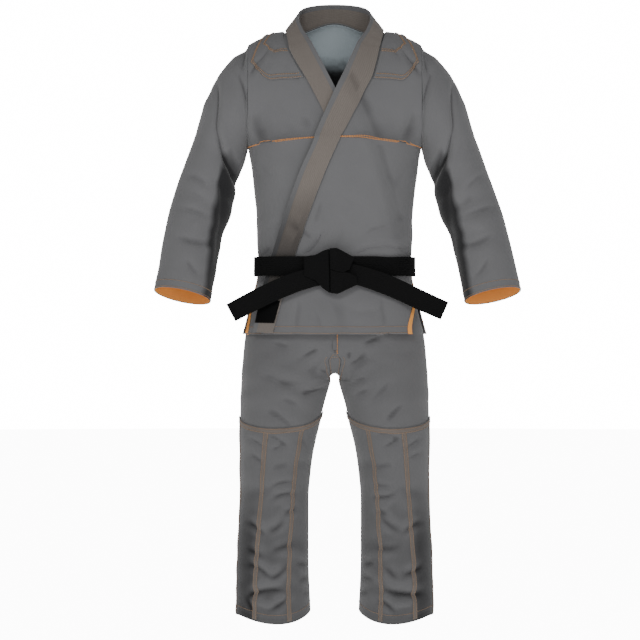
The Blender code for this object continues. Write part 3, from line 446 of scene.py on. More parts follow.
LEG_CREASES = [
    Crease("front", -40, -750, -72, -766, 0, 6, -3),
    Crease("front", -105, -745, -143, -736, 0, 8, -2.2),
    Crease("front", -33, -801, -7, -813, 0, 5, -3.4),
    Crease("front", -77, -858, -23, -844, -2, 6, -4.2),
    Crease("front", -178, -809, -101, -839, 3, 10, -2.4),
    Crease("front", -138, -832, -68, -827, 0, 9, -2),
    Crease("front", -159, -900, -105, -926, 2, 8, -2.6),
    Crease("front", -129, -867, -87, -879, 0, 8, -1.8),
    Crease("front", -84, -794, -44, -780, 0, 9, 2.2),
    Crease("front", -63, -823, -26, -823, 0, 7, 2.4),
    Crease("front", -204, -961, -171, -980, 2, 5, -2.6),
    Crease("front", -154, -956, -112, -980, 3, 6, -2.8),
    Crease("front", -199, -1001, -171, -1017, 0, 6, -2),
    Crease("front", -147, -987, -119, -977, 0, 6, -2.2),
    Crease("front", -82, -963, -68, -991, 0, 7, -1.6),
    Crease("front", -145, -1031, -110, -1024, 0, 8, -1.8),
    Crease("front", -145, -1073, -101, -1066, 2, 6, -2.8),
    Crease("front", -143, -1101, -98, -1092, 2, 6, -3.4),
    Crease("front", -119, -1139, -91, -1129, 0, 6, -2.8),
    Crease("front", -206, -1160, -171, -1186, 2, 6, -2.8),
    Crease("front", -154, -1181, -122, -1160, -3, 7, -2.4),
    Crease("front", -145, -1226, -101, -1216, 0, 6, -3),
    Crease("front", -206, -1223, -171, -1244, 0, 7, -2.4),
    Crease("front", -204, -1261, -159, -1284, 3, 6, -3),
    Crease("front", -152, -1296, -115, -1268, -3, 7, -2.6),
    Crease("front", -199, -1333, -126, -1322, 5, 7, -5.5),
    Crease("front", -190, -1347, -147, -1357, 0, 9, 3),
    Crease("front", -152, -1366, -112, -1343, -3, 6, -3),
    Crease("front", -208, -1343, -194, -1371, 0, 5, -2.4),
    Crease("front", -91, -1258, -63, -1268, 0, 6, -2.2),
    Crease("front", -87, -1301, -63, -1296, 0, 6, -2.2),
    Crease("front", -77, -1329, -63, -1338, 0, 6, -2),
    Crease("front", 73, -762, 33, -790, 0, 7, -2.8),
    Crease("front", 106, -722, 70, -736, 0, 6, -3),
    Crease("front", 73, -818, 35, -830, 0, 6, -3),
    Crease("front", 129, -825, 75, -881, 4, 10, -2.4),
    Crease("front", 162, -881, 122, -919, -2, 8, -2.8),
    Crease("front", 35, -757, 31, -776, 0, 5, -3),
    Crease("front", 87, -780, 49, -804, 0, 8, 2.4),
    Crease("front", 77, -848, 45, -858, 0, 8, -1.8),
    Crease("front", 115, -942, 148, -963, 0, 7, -2.4),
    Crease("front", 117, -980, 152, -963, 0, 6, -2.6),
    Crease("front", 166, -984, 202, -961, -2, 6, -2.8),
    Crease("front", 174, -1008, 202, -996, 0, 6, -2),
    Crease("front", 101, -947, 124, -956, 0, 6, -1.8),
    Crease("front", 96, -1031, 134, -1024, 0, 8, -1.8),
    Crease("front", 96, -1071, 136, -1076, -2, 6, -2.4),
    Crease("front", 96, -1101, 141, -1094, -2, 6, -3.2),
    Crease("front", 99, -1132, 124, -1141, 0, 6, -2.4),
    Crease("front", 106, -1144, 150, -1179, -4, 7, -2.4),
    Crease("front", 164, -1183, 204, -1162, 3, 6, -2.8),
    Crease("front", 96, -1223, 150, -1221, -3, 7, -2.8),
    Crease("front", 162, -1286, 204, -1268, -2, 6, -3.2),
    Crease("front", 120, -1268, 143, -1291, 0, 7, -2),
    Crease("front", 124, -1326, 199, -1331, -5, 7, -5.5),
    Crease("front", 143, -1352, 181, -1347, 0, 9, 3),
    Crease("front", 101, -1347, 138, -1368, 3, 6, -3),
    Crease("front", 73, -1263, 92, -1258, 0, 6, -2.2),
    Crease("front", 68, -1293, 92, -1298, 0, 6, -2.2),
    Crease("front", 63, -1333, 82, -1329, 0, 6, -2),
] + LEG_BACK_CREASES

# A crease: its lip's height beside its depth, and how much deeper and wider than its row it is made.
# STEEP_FLANK is the narrower flank's share of the width, LIP_AT and LIP_WIDTH are in widths.
MM = 0.001
CREASE_LIP = 0.35
CREASE_SCALE = 1.45
CREASE_WIDEN = 1.5
STEEP_FLANK = 0.6
LIP_AT = 1.7
LIP_WIDTH = 1.4

# Slack cloth: how many waves are laid over each other, and how long they are
SLACK_WAVES = 9
SHORT_WAVE = 0.045
LONG_WAVE = 0.16
BODY_SLACK = 0.0014
SLEEVE_SLACK = 0.0016
LEG_SLACK = 0.0026

Surface = namedtuple("Surface", "point sense")


def table_value(table, field, at):
    """The values of one column at places in the first column, on a smooth curve through the rows."""
    places = np.array([row[0] for row in table], float)
    values = np.array([getattr(row, field) for row in table], float)
    at = np.asarray(at, float)
    if places[0] > places[-1]:
        places, at = -places, -at
    widths = np.diff(places)
    secants = np.diff(values) / widths
    before, after = secants[:-1], secants[1:]
    product = before * after
    inner = np.where(product > 0, 2 * product / np.where(product > 0, before + after, 1.0), 0.0)
    slopes = np.concatenate((secants[:1], inner, secants[-1:]))
    at = np.clip(at, places[0], places[-1])
    span = np.clip(np.searchsorted(places, at) - 1, 0, len(widths) - 1)
    width = widths[span]
    t = (at - places[span]) / width
    start_part = (2 * t**3 - 3 * t**2 + 1) * values[span] + (t**3 - 2 * t**2 + t) * width * slopes[span]
    end_part = (3 * t**2 - 2 * t**3) * values[span + 1] + (t**3 - t**2) * width * slopes[span + 1]
    return start_part + end_part


def station_value(table, field, share):
    """The values of one column at shares of the way through a list of stations, on a smooth curve."""
    values = np.array([getattr(row, field) for row in table], float)
    values = np.concatenate(([2 * values[0] - values[1]], values, [2 * values[-1] - values[-2]]))
    last = len(table) - 1
    place = np.clip(share, 0.0, 1.0) * last
    span = np.minimum(place.astype(int), last - 1)
    t = place - span
    a, b, c, d = values[span], values[span + 1], values[span + 2], values[span + 3]
    return b + 0.5 * t * (c - a + t * (2 * a - 5 * b + 4 * c - d + t * (3 * (b - c) + d - a)))


def ramp(low, high, value):
    """A smooth step from 0 at low to 1 at high."""
    t = np.clip((value - low) / (high - low), 0.0, 1.0)
    return t * t * (3 - 2 * t)


def between(low, high, share):
    return low + (high - low) * share


def place_of(x, y, z):
    return np.stack(np.broadcast_arrays(x, y, z), axis=-1).astype(float)


def length_of(vectors):
    return np.sqrt((vectors**2).sum(axis=-1, keepdims=True))


def fold_height(folds, side, across, along, metres_across=1.0, metres_along=1.0):
    """The largest folds: soft troughs and ridges that fade at their ends."""
    total = np.zeros(np.shape(across))
    for fold in folds:
        if fold.side != side:
            continue
        step_across = (across - fold.across) * metres_across
        step_along = (along - fold.along) * metres_along
        turn = math.radians(fold.slant)
        lengthwise = step_across * math.cos(turn) + step_along * math.sin(turn)
        crosswise = step_along * math.cos(turn) - step_across * math.sin(turn)
        reach = (2 * lengthwise / fold.length) ** 2 + (crosswise / fold.width) ** 2
        total = total + fold.depth * np.exp(-reach)
    return total


def crease_height(creases, side, x, z):
    """The smaller creases: a trough with a steep and a soft flank, and a low lip beside it."""
    total = np.zeros(np.shape(x))
    for crease in creases:
        if crease.side != side:
            continue
        run, drop = crease.end_x - crease.x, crease.end_z - crease.z
        size = math.hypot(run, drop)
        step_x, step_z = x / MM - crease.x, z / MM - crease.z
        along = (step_x * run + step_z * drop) / size**2
        off = (step_z * run - step_x * drop) / size - crease.bend * 4 * along * (1 - along)
        fade = ramp(-0.25, 0.4, along) * ramp(1.3, 0.6, along)
        width = crease.width * CREASE_WIDEN
        flank = np.where(off > 0, width, width * STEEP_FLANK)
        lip = np.exp(-(((off - LIP_AT * width) / (LIP_WIDTH * width)) ** 2))
        total = total + crease.depth * MM * fade * (np.exp(-((off / flank) ** 2)) - CREASE_LIP * lip)
    return total * CREASE_SCALE


def slack(x, z, seed, height):
    """Long, low unevenness of cloth that hangs free."""
    waves = np.random.default_rng(seed)
    total = np.zeros(np.shape(x))
    for _ in range(SLACK_WAVES):
        heading = waves.uniform(0, math.pi)
        wave = waves.uniform(SHORT_WAVE, LONG_WAVE)
        start = waves.uniform(0, 2 * math.pi)
        swing = x * math.cos(heading) + z * math.sin(heading)
        total = total + np.sin(2 * math.pi * swing / wave + start + 3 * x + 2 * np.sin(9 * z)) * wave
    return total * height


def moved_out(surface, u, v, lift):
    """Points of a surface, moved outwards by lift along its normal, whose sense the surface gives."""
    u, v = np.broadcast_arrays(np.asarray(u, float), np.asarray(v, float))
    ahead = surface.point(u + STEP, v) - surface.point(u - STEP, v)
    down = surface.point(u, v + STEP) - surface.point(u, v - STEP)
    normal = np.cross(ahead, down)
    normal = normal / np.maximum(length_of(normal), 1e-14) * surface.sense
    return surface.point(u, v) + normal * np.broadcast_to(lift, u.shape)[..., None]


def shoulder_height(x):
    """Height of the shoulder line, and of the back neckline between the shoulder seams."""
    out = (np.abs(x) - NECK_HALF) / (TIP_X - NECK_HALF)
    line = TIP_HEIGHT + SHOULDER_RISE * (1 - np.clip(out, 0.0, 1.2) ** 2.2)
    hill = 0.5 * (1 + np.cos(math.pi * np.clip(np.abs(x) / NECK_HALF, 0, 1)))
    return np.where(out >= 0, line, TIP_HEIGHT + SHOULDER_RISE + BACK_NECK_RISE * hill)


def bow(share):
    """The body's rounded outline: the depth's share at a share of the half width."""
    return np.maximum(1 - share**ROUNDNESS, 0.0) ** (1 / ROUNDNESS)


def yoke_bow(share, down):
    """How the chest rounds away towards the armhole: flat at the armhole, full below the underarm."""
    soft = 1 - share * share * (3 - 2 * share)
    flat = 0.5 * soft + 0.5 * (1 - share**4) * (1 - 0.25 * share)
    full = ramp(YOKE_FULL_FROM, 1.0, down)
    return flat * (1 - full) + bow(share) * full


def torso_point(back):
    """The jacket body. across is the angle from the middle of this side, down is 0 at the shoulder seam,
    1 at the underarm and 2 at the hem."""
    field = "back_depth" if back else "front_depth"
    facing = 1 if back else -1

    def point(across, down):
        sine = np.sin(across)
        share = np.minimum(np.abs(sine), 1.0)
        yoke = np.clip(down, 0.0, 1.0)
        edge = ARMHOLE_DEPTH * np.sin(math.pi * yoke)
        depth = np.where(down < 0, down * BEYOND_SEAM_SLOPE, table_value(YOKE, field, yoke))
        upper_x = TIP_X * sine
        upper_y = edge + (depth - edge) * yoke_bow(share, yoke)
        upper_z = ARMHOLE_MIDDLE + ARMHOLE_RISE * np.cos(math.pi * yoke)
        upper_z = upper_z + (shoulder_height(upper_x) - TIP_HEIGHT) * (1 - yoke)
        if back:
            neck = BACK_NECK_DEPTH * np.sqrt(np.clip(1 - (upper_x / NECK_HALF) ** 2, 0, 1))
            upper_y = upper_y + neck * (1 - depth / YOKE[-1].back_depth)
        lower_z = UNDERARM + (down - 1) * (JACKET_HEM - UNDERARM)
        lower_x = table_value(BODY, "half_width", lower_z) * sine
        lower_y = table_value(BODY, field, lower_z) * bow(share)
        above = down < 1
        x = np.where(above, upper_x, lower_x)
        y = np.where(above, upper_y, lower_y)
        z = np.where(above, upper_z, lower_z)
        z = z + CHEST_SEAM_RISE * (1 - share**2) * np.exp(-(((down - 1) / CHEST_SEAM_REACH) ** 2))
        return place_of(x, facing * y, z)

    return point


# How near to a lapel or to the belt the small creases die out
LAPEL_CALM = 0.022
BELT_CALM = 0.012
YOKE_FREE = 0.12


def clear_of_lapels(x, z):
    """1 on free cloth and 0 under the stiff lapels."""
    free = np.ones(np.shape(x))
    for table, low, high in ((OVER_LAPEL, -1.0, 0.1), (UNDER_LAPEL, -0.205, 0.1)):
        first, last = table_value(table, "outer_x", z), table_value(table, "inner_x", z)
        middle, half = (first + last) / 2, np.abs(first - last) / 2
        near = 1 - ramp(0.0, LAPEL_CALM, np.abs(x - middle) - half)
        free = free * (1 - near * (z > low) * (z < high))
    return free


def clear_of_belt(z):
    middle, half = (BELT_TOP + BELT_FOOT) / 2, (BELT_TOP - BELT_FOOT) / 2
    return ramp(0.0, BELT_CALM, np.abs(z - middle) - half)


def torso_surface(back):
    """The jacket body with its folds and creases."""
    bare = torso_point(back)
    smooth = Surface(bare, 1 if back else -1)
    side = "back" if back else "front"

    def point(across, down):
        spot = bare(across, down)
        x, z = spot[..., 0], spot[..., 2]
        height = fold_height(BODY_FOLDS, side, x, z)
        small = crease_height(BODY_CREASES, side, x, z) + slack(x, z, 11 if back else 5, BODY_SLACK)
        small = small * clear_of_belt(z) * ramp(0.0, YOKE_FREE, down)
        if not back:
            small = small * clear_of_lapels(x, z)
        return moved_out(smooth, across, down, height + small)

    return Surface(point, 1 if back else -1)


FLAT_FRONT = torso_point(back=False)
FRONT = torso_surface(back=False)
BACK = torso_surface(back=True)


def down_at(height):
    """The torso's down value for a height below the underarm."""
    return 1 + (height - UNDERARM) / (JACKET_HEM - UNDERARM)


def angle_at(x_of_height, down):
    """The angle on the front where an edge that is drawn from the front crosses one row."""
    angle = np.zeros(np.shape(down))
    for _ in range(EDGE_ROUNDS):
        height = FLAT_FRONT(angle, down)[..., 2]
        half = np.where(down < 1, TIP_X, table_value(BODY, "half_width", height))
        angle = np.arcsin(np.clip(x_of_height(height) / half, -ASIN_LIMIT, ASIN_LIMIT))
    return angle


def lapel_x(table, share):
    """The x of a line along a lapel, from its outer edge at share 0 to its inner edge at share 1."""
    def x_of_height(height):
        outer = table_value(table, "outer_x", height)
        return outer + (table_value(table, "inner_x", height) - outer) * share
    return x_of_height


def over_lift(x, height):
    """How far the over front stands out where the under front and its lapel lie below it."""
    beyond = x - table_value(UNDER_LAPEL, "inner_x", height)
    return OVER_FRONT_LIFT * (1 - ramp(OVER_FRONT_CLEAR, OVER_FRONT_BLEND, beyond))


def two_parts(share, corner, value):
    """Maps 0 to 1 onto itself in two straight parts that meet where share is corner."""
    return np.where(share <= corner, value * share / corner, 1 - (1 - value) * (1 - share) / (1 - corner))


# The fronts and the back: faces of the solids, where they start and end, and the cut of each vent edge
FRONT_COLUMNS = 12
LOWER_ROWS = 11
LOWER_VENT_ROW = 8
BACK_COLUMNS = 22
BACK_ROWS = 22
BACK_VENT_ROW = 18
BACK_TAPE_WIDTH = 0.05
CHEST_DOWN = 1.0
SEAM_DOWN = SEAM / (UNDERARM - JACKET_HEM)
SHOULDER_START = 0.0012
SIDE_INSET = 0.0006
SIDE_SEAM_DROP = 0.0034
LAPEL_TUCK = 0.62
FRONT_TAPE_WIDTH = 0.045
VENT_CUT_OVER = math.radians(35)
VENT_CUT_UNDER = math.radians(14)
VENT_DOWN = down_at(BELT_FOOT - 0.0015)
LINING_ROWS = (0.25, 7)
LINING_COLUMNS = (3, 19)


def place_front(down_from, down_to, over):
    """One front panel, from under its lapel to its own side seam or armhole."""
    side = 1 if over else -1
    edge = lapel_x(OVER_LAPEL if over else UNDER_LAPEL, LAPEL_TUCK)
    vent_cut = VENT_CUT_OVER if over else VENT_CUT_UNDER
    vent_share = (VENT_DOWN - down_from) / (down_to - down_from)

    def place(u, v, lift):
        row = two_parts(v, LOWER_VENT_ROW / LOWER_ROWS, vent_share) if down_from > 1 else v
        down = between(down_from, down_to, row)
        start = angle_at(edge, down)
        height = FLAT_FRONT(0 * down, down)[..., 2]
        end = side * (RIGHT_ANGLE - SIDE_INSET - vent_cut * ramp(BELT_FOOT, JACKET_HEM, height))
        angle = between(start, end, two_parts(u, 1 - 1 / FRONT_COLUMNS, 1 - FRONT_TAPE_WIDTH))
        if down_from > 1:
            down = down + SIDE_SEAM_DROP * np.maximum(1 - 3 * v, 0.0) * np.abs(np.sin(angle)) ** 8
        if over:
            spot = FRONT.point(angle, down)
            lift = lift + over_lift(spot[..., 0], spot[..., 2])
        return moved_out(FRONT, angle, down, lift)

    return place


def place_back(u, v, lift):
    """The back panel, from the shoulder seams and neckline to the hem."""
    vent_share = (VENT_DOWN - SHOULDER_START) / (2.0 - SHOULDER_START)
    down = between(SHOULDER_START, 2.0, two_parts(v, BACK_VENT_ROW / BACK_ROWS, vent_share))
    out = two_parts(np.abs(2 * u - 1), 1 - 2 / BACK_COLUMNS, 1 - BACK_TAPE_WIDTH)
    return moved_out(BACK, np.copysign((RIGHT_ANGLE - SIDE_INSET) * out, u - 0.5), down, lift)


def place_lining(u, v, lift):
    """The yoke lining, against the inside of the back."""
    across = between(LINING_COLUMNS[0], LINING_COLUMNS[1], u) / BACK_COLUMNS
    down = between(LINING_ROWS[0], LINING_ROWS[1], v) / BACK_ROWS
    return place_back(across, down, lift - SEAM - FACING_WALL)


# The share of the collar's length that stands round the neck, and where the lapels start below it
NECK_SHARE = 0.18
LAPEL_START = 0.25
LAPEL_END = 1.995
LAPEL_SPREAD = 0.9
NECK_LIFT_FROM = 0.4
NECK_LIFT_TO = 0.8
COLLAR_SWELL = 0.002
COLLAR_LEAN = 0.35
SIGNED_SHARES = [row._replace(share=row.side * row.share) for row in NECK]


def place_lapel(over, v, u, lift):
    """One lapel, from the side of the neck to the hem."""
    table = OVER_LAPEL if over else UNDER_LAPEL
    along = (np.abs(v - 0.5) - NECK_SHARE / 2) / (0.5 - NECK_SHARE / 2)
    down = between(LAPEL_START, LAPEL_END, along**LAPEL_SPREAD)
    angle = angle_at(lapel_x(table, u), down)
    spot = FRONT.point(angle, down)
    near_hem = ramp(NECK_LIFT_FROM, NECK_LIFT_TO, down)
    lift = lift + JACKET_WALL + between(NECK_LAID_ON, COLLAR_LAID_ON, near_hem)
    if over:
        lift = lift + over_lift(spot[..., 0], spot[..., 2])
    return moved_out(FRONT, angle, down, lift)


def place_neck(turn, u, lift):
    """The collar round the neck. turn is -1 where the under lapel starts and 1 where the over lapel does."""
    side = np.where(turn > 0, 1.0, -1.0)
    station = 1 - np.abs(turn)
    lower_x = side * station_value(NECK, "lower_x", station)
    down = station_value(SIGNED_SHARES, "share", station)
    angle = np.arcsin(lower_x / TIP_X)
    under = JACKET_WALL + NECK_LAID_ON
    behind = moved_out(BACK, angle, np.abs(down), under)
    before = moved_out(FRONT, angle, np.abs(down), under)
    lower = np.where((down > 0)[..., None], behind, before)
    upper = place_of(
        side * station_value(NECK, "upper_x", station),
        station_value(NECK, "upper_y", station),
        station_value(NECK, "upper_z", station),
    )
    point = lower + (upper - lower) * np.asarray(u)[..., None]
    out = place_of(point[..., 0], point[..., 1] * 1.1, 0)
    out = out / length_of(out) + np.array((0, 0, COLLAR_LEAN))
    out = out / length_of(out)
    return point + out * (lift + COLLAR_SWELL * np.sin(math.pi * u))[..., None]


def place_collar(u, v, lift):
    """The collar band. v runs from the under front's hem, round the neck, to the over front's hem."""
    u, v = np.broadcast_arrays(np.asarray(u, float), np.asarray(v, float))
    lift = np.broadcast_to(lift, u.shape)
    points = np.zeros(u.shape + (3,))
    neck = np.abs(v - 0.5) < NECK_SHARE / 2
    points[neck] = place_neck((v[neck] - 0.5) / (NECK_SHARE / 2), u[neck], lift[neck])
    for over in (True, False):
        lapel = ~neck & ((v > 0.5) == over)
        points[lapel] = place_lapel(over, v[lapel], u[lapel], lift[lapel])
    return points


def sleeve_surface(side):
    """A sleeve. across is the angle round it from the top, by the front, and v runs to the cuff."""
    def bare(across, v):
        ring = {field: station_value(SLEEVE, field, v) for field in SleeveRing._fields}
        spread = LEFT_SLEEVE_SPREAD if side > 0 else 0.0
        cosine, sine = np.cos(across), np.sin(across)
        x = between(ring["inner_x"], ring["outer_x"], 0.5 + 0.5 * cosine)
        z = between(ring["inner_z"], ring["outer_z"], 0.5 + 0.5 * cosine)
        low = ramp(0.3, 0.9, 0.5 - 0.5 * cosine)
        straight = SLEEVE[0].outer_x + (SLEEVE[0].inner_x - SLEEVE[0].outer_x) * low
        x = between(x, straight, np.maximum(1 - v / ARMHOLE_BLEND, 0.0))
        tilt = SLEEVE_TILT * ramp(0.1, 0.9, v)
        y = ring["middle_y"] - ring["half_depth"] * sine * np.cos(tilt)
        z = z + ring["half_depth"] * sine * np.sin(tilt)
        x = x + spread * ramp(SPREAD_FROM, SPREAD_TO, z)
        return place_of(side * x, y, z)

    smooth = Surface(bare, side)

    def point(across, v):
        spot = bare(across, v)
        x, z = spot[..., 0], spot[..., 2]
        turn = np.degrees(across) % 360
        height = fold_height(SLEEVE_FOLDS, "ring", turn, v, METRES_A_DEGREE, SLEEVE_LENGTH)
        height = height * ramp(0.0, SEAM_FADE, v) * ramp(1.0, 1 - SEAM_FADE, v)
        faces_front = ramp(-0.25, 0.3, np.sin(across))
        small = crease_height(SLEEVE_CREASES, "front", x, z) * faces_front
        small = small + crease_height(SLEEVE_CREASES, "back", x, z) * (1 - faces_front)
        small = small + slack(x, z + spot[..., 1], 23, SLEEVE_SLACK)
        small = small * ramp(0.0, 0.03, v) * ramp(1.0, 0.94, v)
        return moved_out(smooth, across, v, height + small)

    return Surface(point, side)


def place_sleeve(side):
    """A sleeve as one tube. u starts at the underarm seam and v runs to the cuff."""
    surface = sleeve_surface(side)

    def place(u, v, lift):
        return moved_out(surface, math.pi + 2 * math.pi * u, v, lift)

    return place


def place_allowance(sleeve, side):
    """The seam allowance inside an armhole, from inside the body to inside the sleeve."""
    def place(u, v, lift):
        ring = sleeve(u, ALLOWANCE_SHARE * v, lift - SEAM * 3)
        return ring - place_of(side * ALLOWANCE_WIDTH * (1 - v), 0, 0)

    return place


def place_facing(sleeve):
    """The facing inside a cuff."""
    def place(u, v, lift):
        inside = -SEAM * 2 - FACING_WALL
        return sleeve(u, between(CUFF_FACING_SHARE, CUFF_FACING_END, v), lift + inside)

    return place


# Shoulder patch: how far down it reaches by the neck and by the armhole, and the x of its corners
PATCH_DEEP = 0.455
PATCH_SHALLOW = 0.31
PATCH_NECK_X = 0.121
PATCH_TIP_X = 0.160
PATCH_CORNER_X = 0.198
PATCH_GAP = -0.08
INNER_PATCH = 0.62


def place_shoulder_patch(side, size=1.0):
    """Reinforcement over the shoulder, from its lower edge in front to the same edge behind."""
    lapel = lapel_x(OVER_LAPEL if side > 0 else UNDER_LAPEL, PATCH_GAP)
    at_neck = side * math.asin(PATCH_NECK_X / TIP_X)

    def place(u, v, lift):
        way = between(-1.0, 1.0, v)
        reach = between(PATCH_DEEP, PATCH_SHALLOW, ramp(0.45, 1.0, u)) * size
        down = np.maximum(np.abs(way) * reach, 0.001)
        slope = ramp(0.03, 0.2, down) * (way < 0)
        start = between(at_neck, angle_at(lapel, np.maximum(down, 0.02)), slope)
        end_x = between(PATCH_TIP_X, PATCH_CORNER_X, np.minimum(down / (PATCH_SHALLOW * size), 1.0))
        end_x = between(PATCH_NECK_X, end_x, size)
        angle = between(start, side * np.arcsin(end_x / TIP_X), u)
        lift = lift + JACKET_WALL + PATCH_LAID_ON
        behind, before = moved_out(BACK, angle, down, lift), moved_out(FRONT, angle, down, lift)
        return np.where((way > 0)[..., None], behind, before)

    return place


# The patch on the over lapel, near its lower end
LAPEL_PATCH_TOP = -0.640
LAPEL_PATCH_FOOT = -0.692
LAPEL_PATCH_INSET = 0.03


def place_lapel_patch(u, v, lift):
    down = down_at(between(LAPEL_PATCH_TOP, LAPEL_PATCH_FOOT, v))
    share = between(LAPEL_PATCH_INSET, 1 - LAPEL_PATCH_INSET, u)
    angle = angle_at(lapel_x(OVER_LAPEL, share), down)
    return moved_out(FRONT, angle, down, lift + OVER_LAPEL_LIFT + LAPEL_WALL + LAID_ON)


def place_tape(panel, columns, vent_row, rows, at_end):
    """Tape along one vent edge, on the outer face of its panel."""
    def place(u, v, lift):
        across = (columns - 1 + u) / columns if at_end else u / columns
        return panel(across, between(vent_row / rows, 1.0, v), lift + JACKET_WALL + SEAM)

    return place


# Legs
THIGH_ROWS = [WAIST, -0.612, -0.655, -0.700, -0.732, -0.756, -0.777, -0.803, CROTCH, -0.852, -0.888]
KNEE_ROW = len(THIGH_ROWS)
LEG_ROWS = KNEE_ROW + 11
KNEE_PANEL_END = 0.999


def inner_x(height):
    return table_value(INSEAM, "inner_x", height)


def seam_share(height):
    """How far the centre seam stands out, as a share of the depth: it curves under to the crotch."""
    down = np.clip((RISE_TOP - height) / (RISE_TOP - CROTCH), 0.0, 1.0)
    return np.sqrt(1 - down * down)


def leg_bow(share):
    return np.maximum(1 - np.minimum(share, 1.0) ** LEG_ROUNDNESS, 0.0) ** (1 / LEG_ROUNDNESS)


def leg_surface(side, back):
    """A leg's front or back. u runs from the centre seam or inseam to the side seam, v is the height."""
    facing = 1 if back else -1
    field = "back_depth" if back else "front_depth"
    face = "back" if back else "front"

    def bare(u, height):
        share = np.clip(u, 0.0, 1.0)
        outer = table_value(LEG, "outer_x", height)
        depth = table_value(LEG, field, height)
        inner = inner_x(height)
        turn = math.pi * share
        leg_x = (inner + outer) / 2 - (outer - inner) / 2 * np.cos(turn)
        leg_y = depth * leg_bow(np.abs(np.cos(turn)))
        quarter = RIGHT_ANGLE * share
        hip_x = inner + (outer - inner) * np.sin(quarter)
        hip_y = depth * leg_bow(np.sin(quarter))
        away = ramp(0.02, 0.35, share)
        joined = between(seam_share(height), ramp(CROTCH - 0.045, RISE_TOP + 0.01, height), away)
        return place_of(side * between(leg_x, hip_x, joined), facing * between(leg_y, hip_y, joined), height)

    sense = side * (-1 if back else 1)
    smooth = Surface(bare, sense)

    def point(u, height):
        spot = bare(u, height)
        x, z = spot[..., 0], spot[..., 2]
        height_of_fold = fold_height(LEG_FOLDS, face, np.abs(x), z)
        small = crease_height(LEG_CREASES, face, x, z) + slack(x, 1.6 * z, 40 + side + 2 * back, LEG_SLACK)
        fade = ramp(0.0, SEAM_FADE, u) * ramp(1.0, 1 - SEAM_FADE, u)
        small = small * ramp(0.0, 0.05, u) * ramp(1.0, 0.95, u) * ramp(RISE_TOP, RISE_TOP - 0.03, z)
        return moved_out(smooth, u, height, height_of_fold * fade + small)

    return Surface(point, sense)


def knee_height(u):
    """The knee panel's upper edge, lowest in the middle of the leg and rising to both seams."""
    return KNEE_SEAM + KNEE_SEAM_SIDES * (2 * u - 1) ** 2 + KNEE_SEAM_INSIDE * (1 - u) ** 3


def hem_height(u, back):
    """The hem, lower in front and at the outer side."""
    drop = HEM_SIDE_DROP * u
    if not back:
        drop = drop + HEM_FRONT_DROP * np.sin(math.pi * np.minimum(u * HEM_DROP_SPREAD, 1.0)) ** 1.5
    return LEG_HEM - drop


def leg_height(u, v, back):
    """Height of a row of the leg at one column: row KNEE_ROW follows the knee panel's upper edge."""
    row = v * LEG_ROWS
    low = between(knee_height(u), hem_height(u, back), (row - KNEE_ROW) / (LEG_ROWS - KNEE_ROW))
    high = np.interp(row, np.arange(KNEE_ROW), THIGH_ROWS)
    meeting = between(THIGH_ROWS[-1], knee_height(u), row - KNEE_ROW + 1)
    return np.where(row >= KNEE_ROW, low, np.where(row > KNEE_ROW - 1, meeting, high))


def place_leg(side, back):
    surface = leg_surface(side, back)

    def place(u, v, lift):
        u, v = np.broadcast_arrays(u, v)
        return moved_out(surface, between(LEG_INSET, 1 - LEG_INSET, u), leg_height(u, v, back), lift)

    return place


def place_knee(leg):
    """The knee panel, laid on the front of the leg down to the hem."""
    def place(u, v, lift):
        return leg(u, between(KNEE_ROW / LEG_ROWS, KNEE_PANEL_END, v), lift + TROUSER_WALL + SEAM)

    return place


# The gusset's seam allowance, which lies inside the legs
GUSSET_TUCK = 0.005
GUSSET_TUCK_FROM = 0.55
GUSSET_TUCK_TO = 0.8


def place_gusset(u, v, lift):
    """The diamond between the legs: rows go from its front tip, down through the crotch, to its back tip."""
    height = np.interp(v * (len(GUSSET_ROWS) - 1), np.arange(len(GUSSET_ROWS)), GUSSET_ROWS)
    side = np.where(v > 0.5, 1.0, -1.0)
    out = seam_share(height)
    half = np.maximum(inner_x(height) - TROUSER_WALL - SEAM, GUSSET_TIP)
    across = 2 * u - 1
    lift = lift - (TROUSER_WALL + SEAM * 2) * ramp(GUSSET_TUCK_FROM, GUSSET_TUCK_TO, np.abs(across))
    half = half + GUSSET_TUCK
    rise = GUSSET_ARCH * ramp(GUSSET_ARCH_FROM, 0.0, out)
    fronts, backs = table_value(LEG, "front_depth", height), table_value(LEG, "back_depth", height)
    depth = side * np.where(v > 0.5, backs, fronts) * out
    spot = place_of(half * across, depth, height + rise * (1 - across * across))
    return spot + place_of(0, side * out, -np.sqrt(1 - out * out)) * np.broadcast_to(lift, u.shape)[..., None]


def round_body(turn, down, lift):
    """Points all round the jacket body, from the middle of the back by the wearer's right."""
    across = np.arcsin(np.clip(np.sin(turn), -1, 1)) * SHORT_OF_SIDE
    behind, before = moved_out(BACK, across, down, lift), moved_out(FRONT, across, down, lift)
    return np.where((np.cos(turn) < 0)[..., None], behind, before)


def place_waistband(u, v, lift):
    """The waistband, inside the jacket."""
    height = between(WAISTBAND_TOP, WAISTBAND_FOOT, v)
    return round_body(2 * math.pi * u, down_at(height), lift - SEAM * 3 - WAISTBAND_WALL)


# A belt's rows of stitches leave low ridges between them
BELT_ROWS = 9
BELT_RIDGE = 0.00035


def belt_ridges(u):
    """The low ridges between a belt's rows of stitches."""
    return BELT_RIDGE * np.abs(np.sin(math.pi * BELT_ROWS * u))


def place_belt(u, v, lift):
    """The turns of the belt round the waist."""
    degrees = between(-180, 180, u)
    extra = table_value(BELT, "lift", degrees)
    down = down_at(between(BELT_TOP, BELT_FOOT, v))
    return round_body(np.radians(degrees), down, lift + extra + belt_ridges(v))


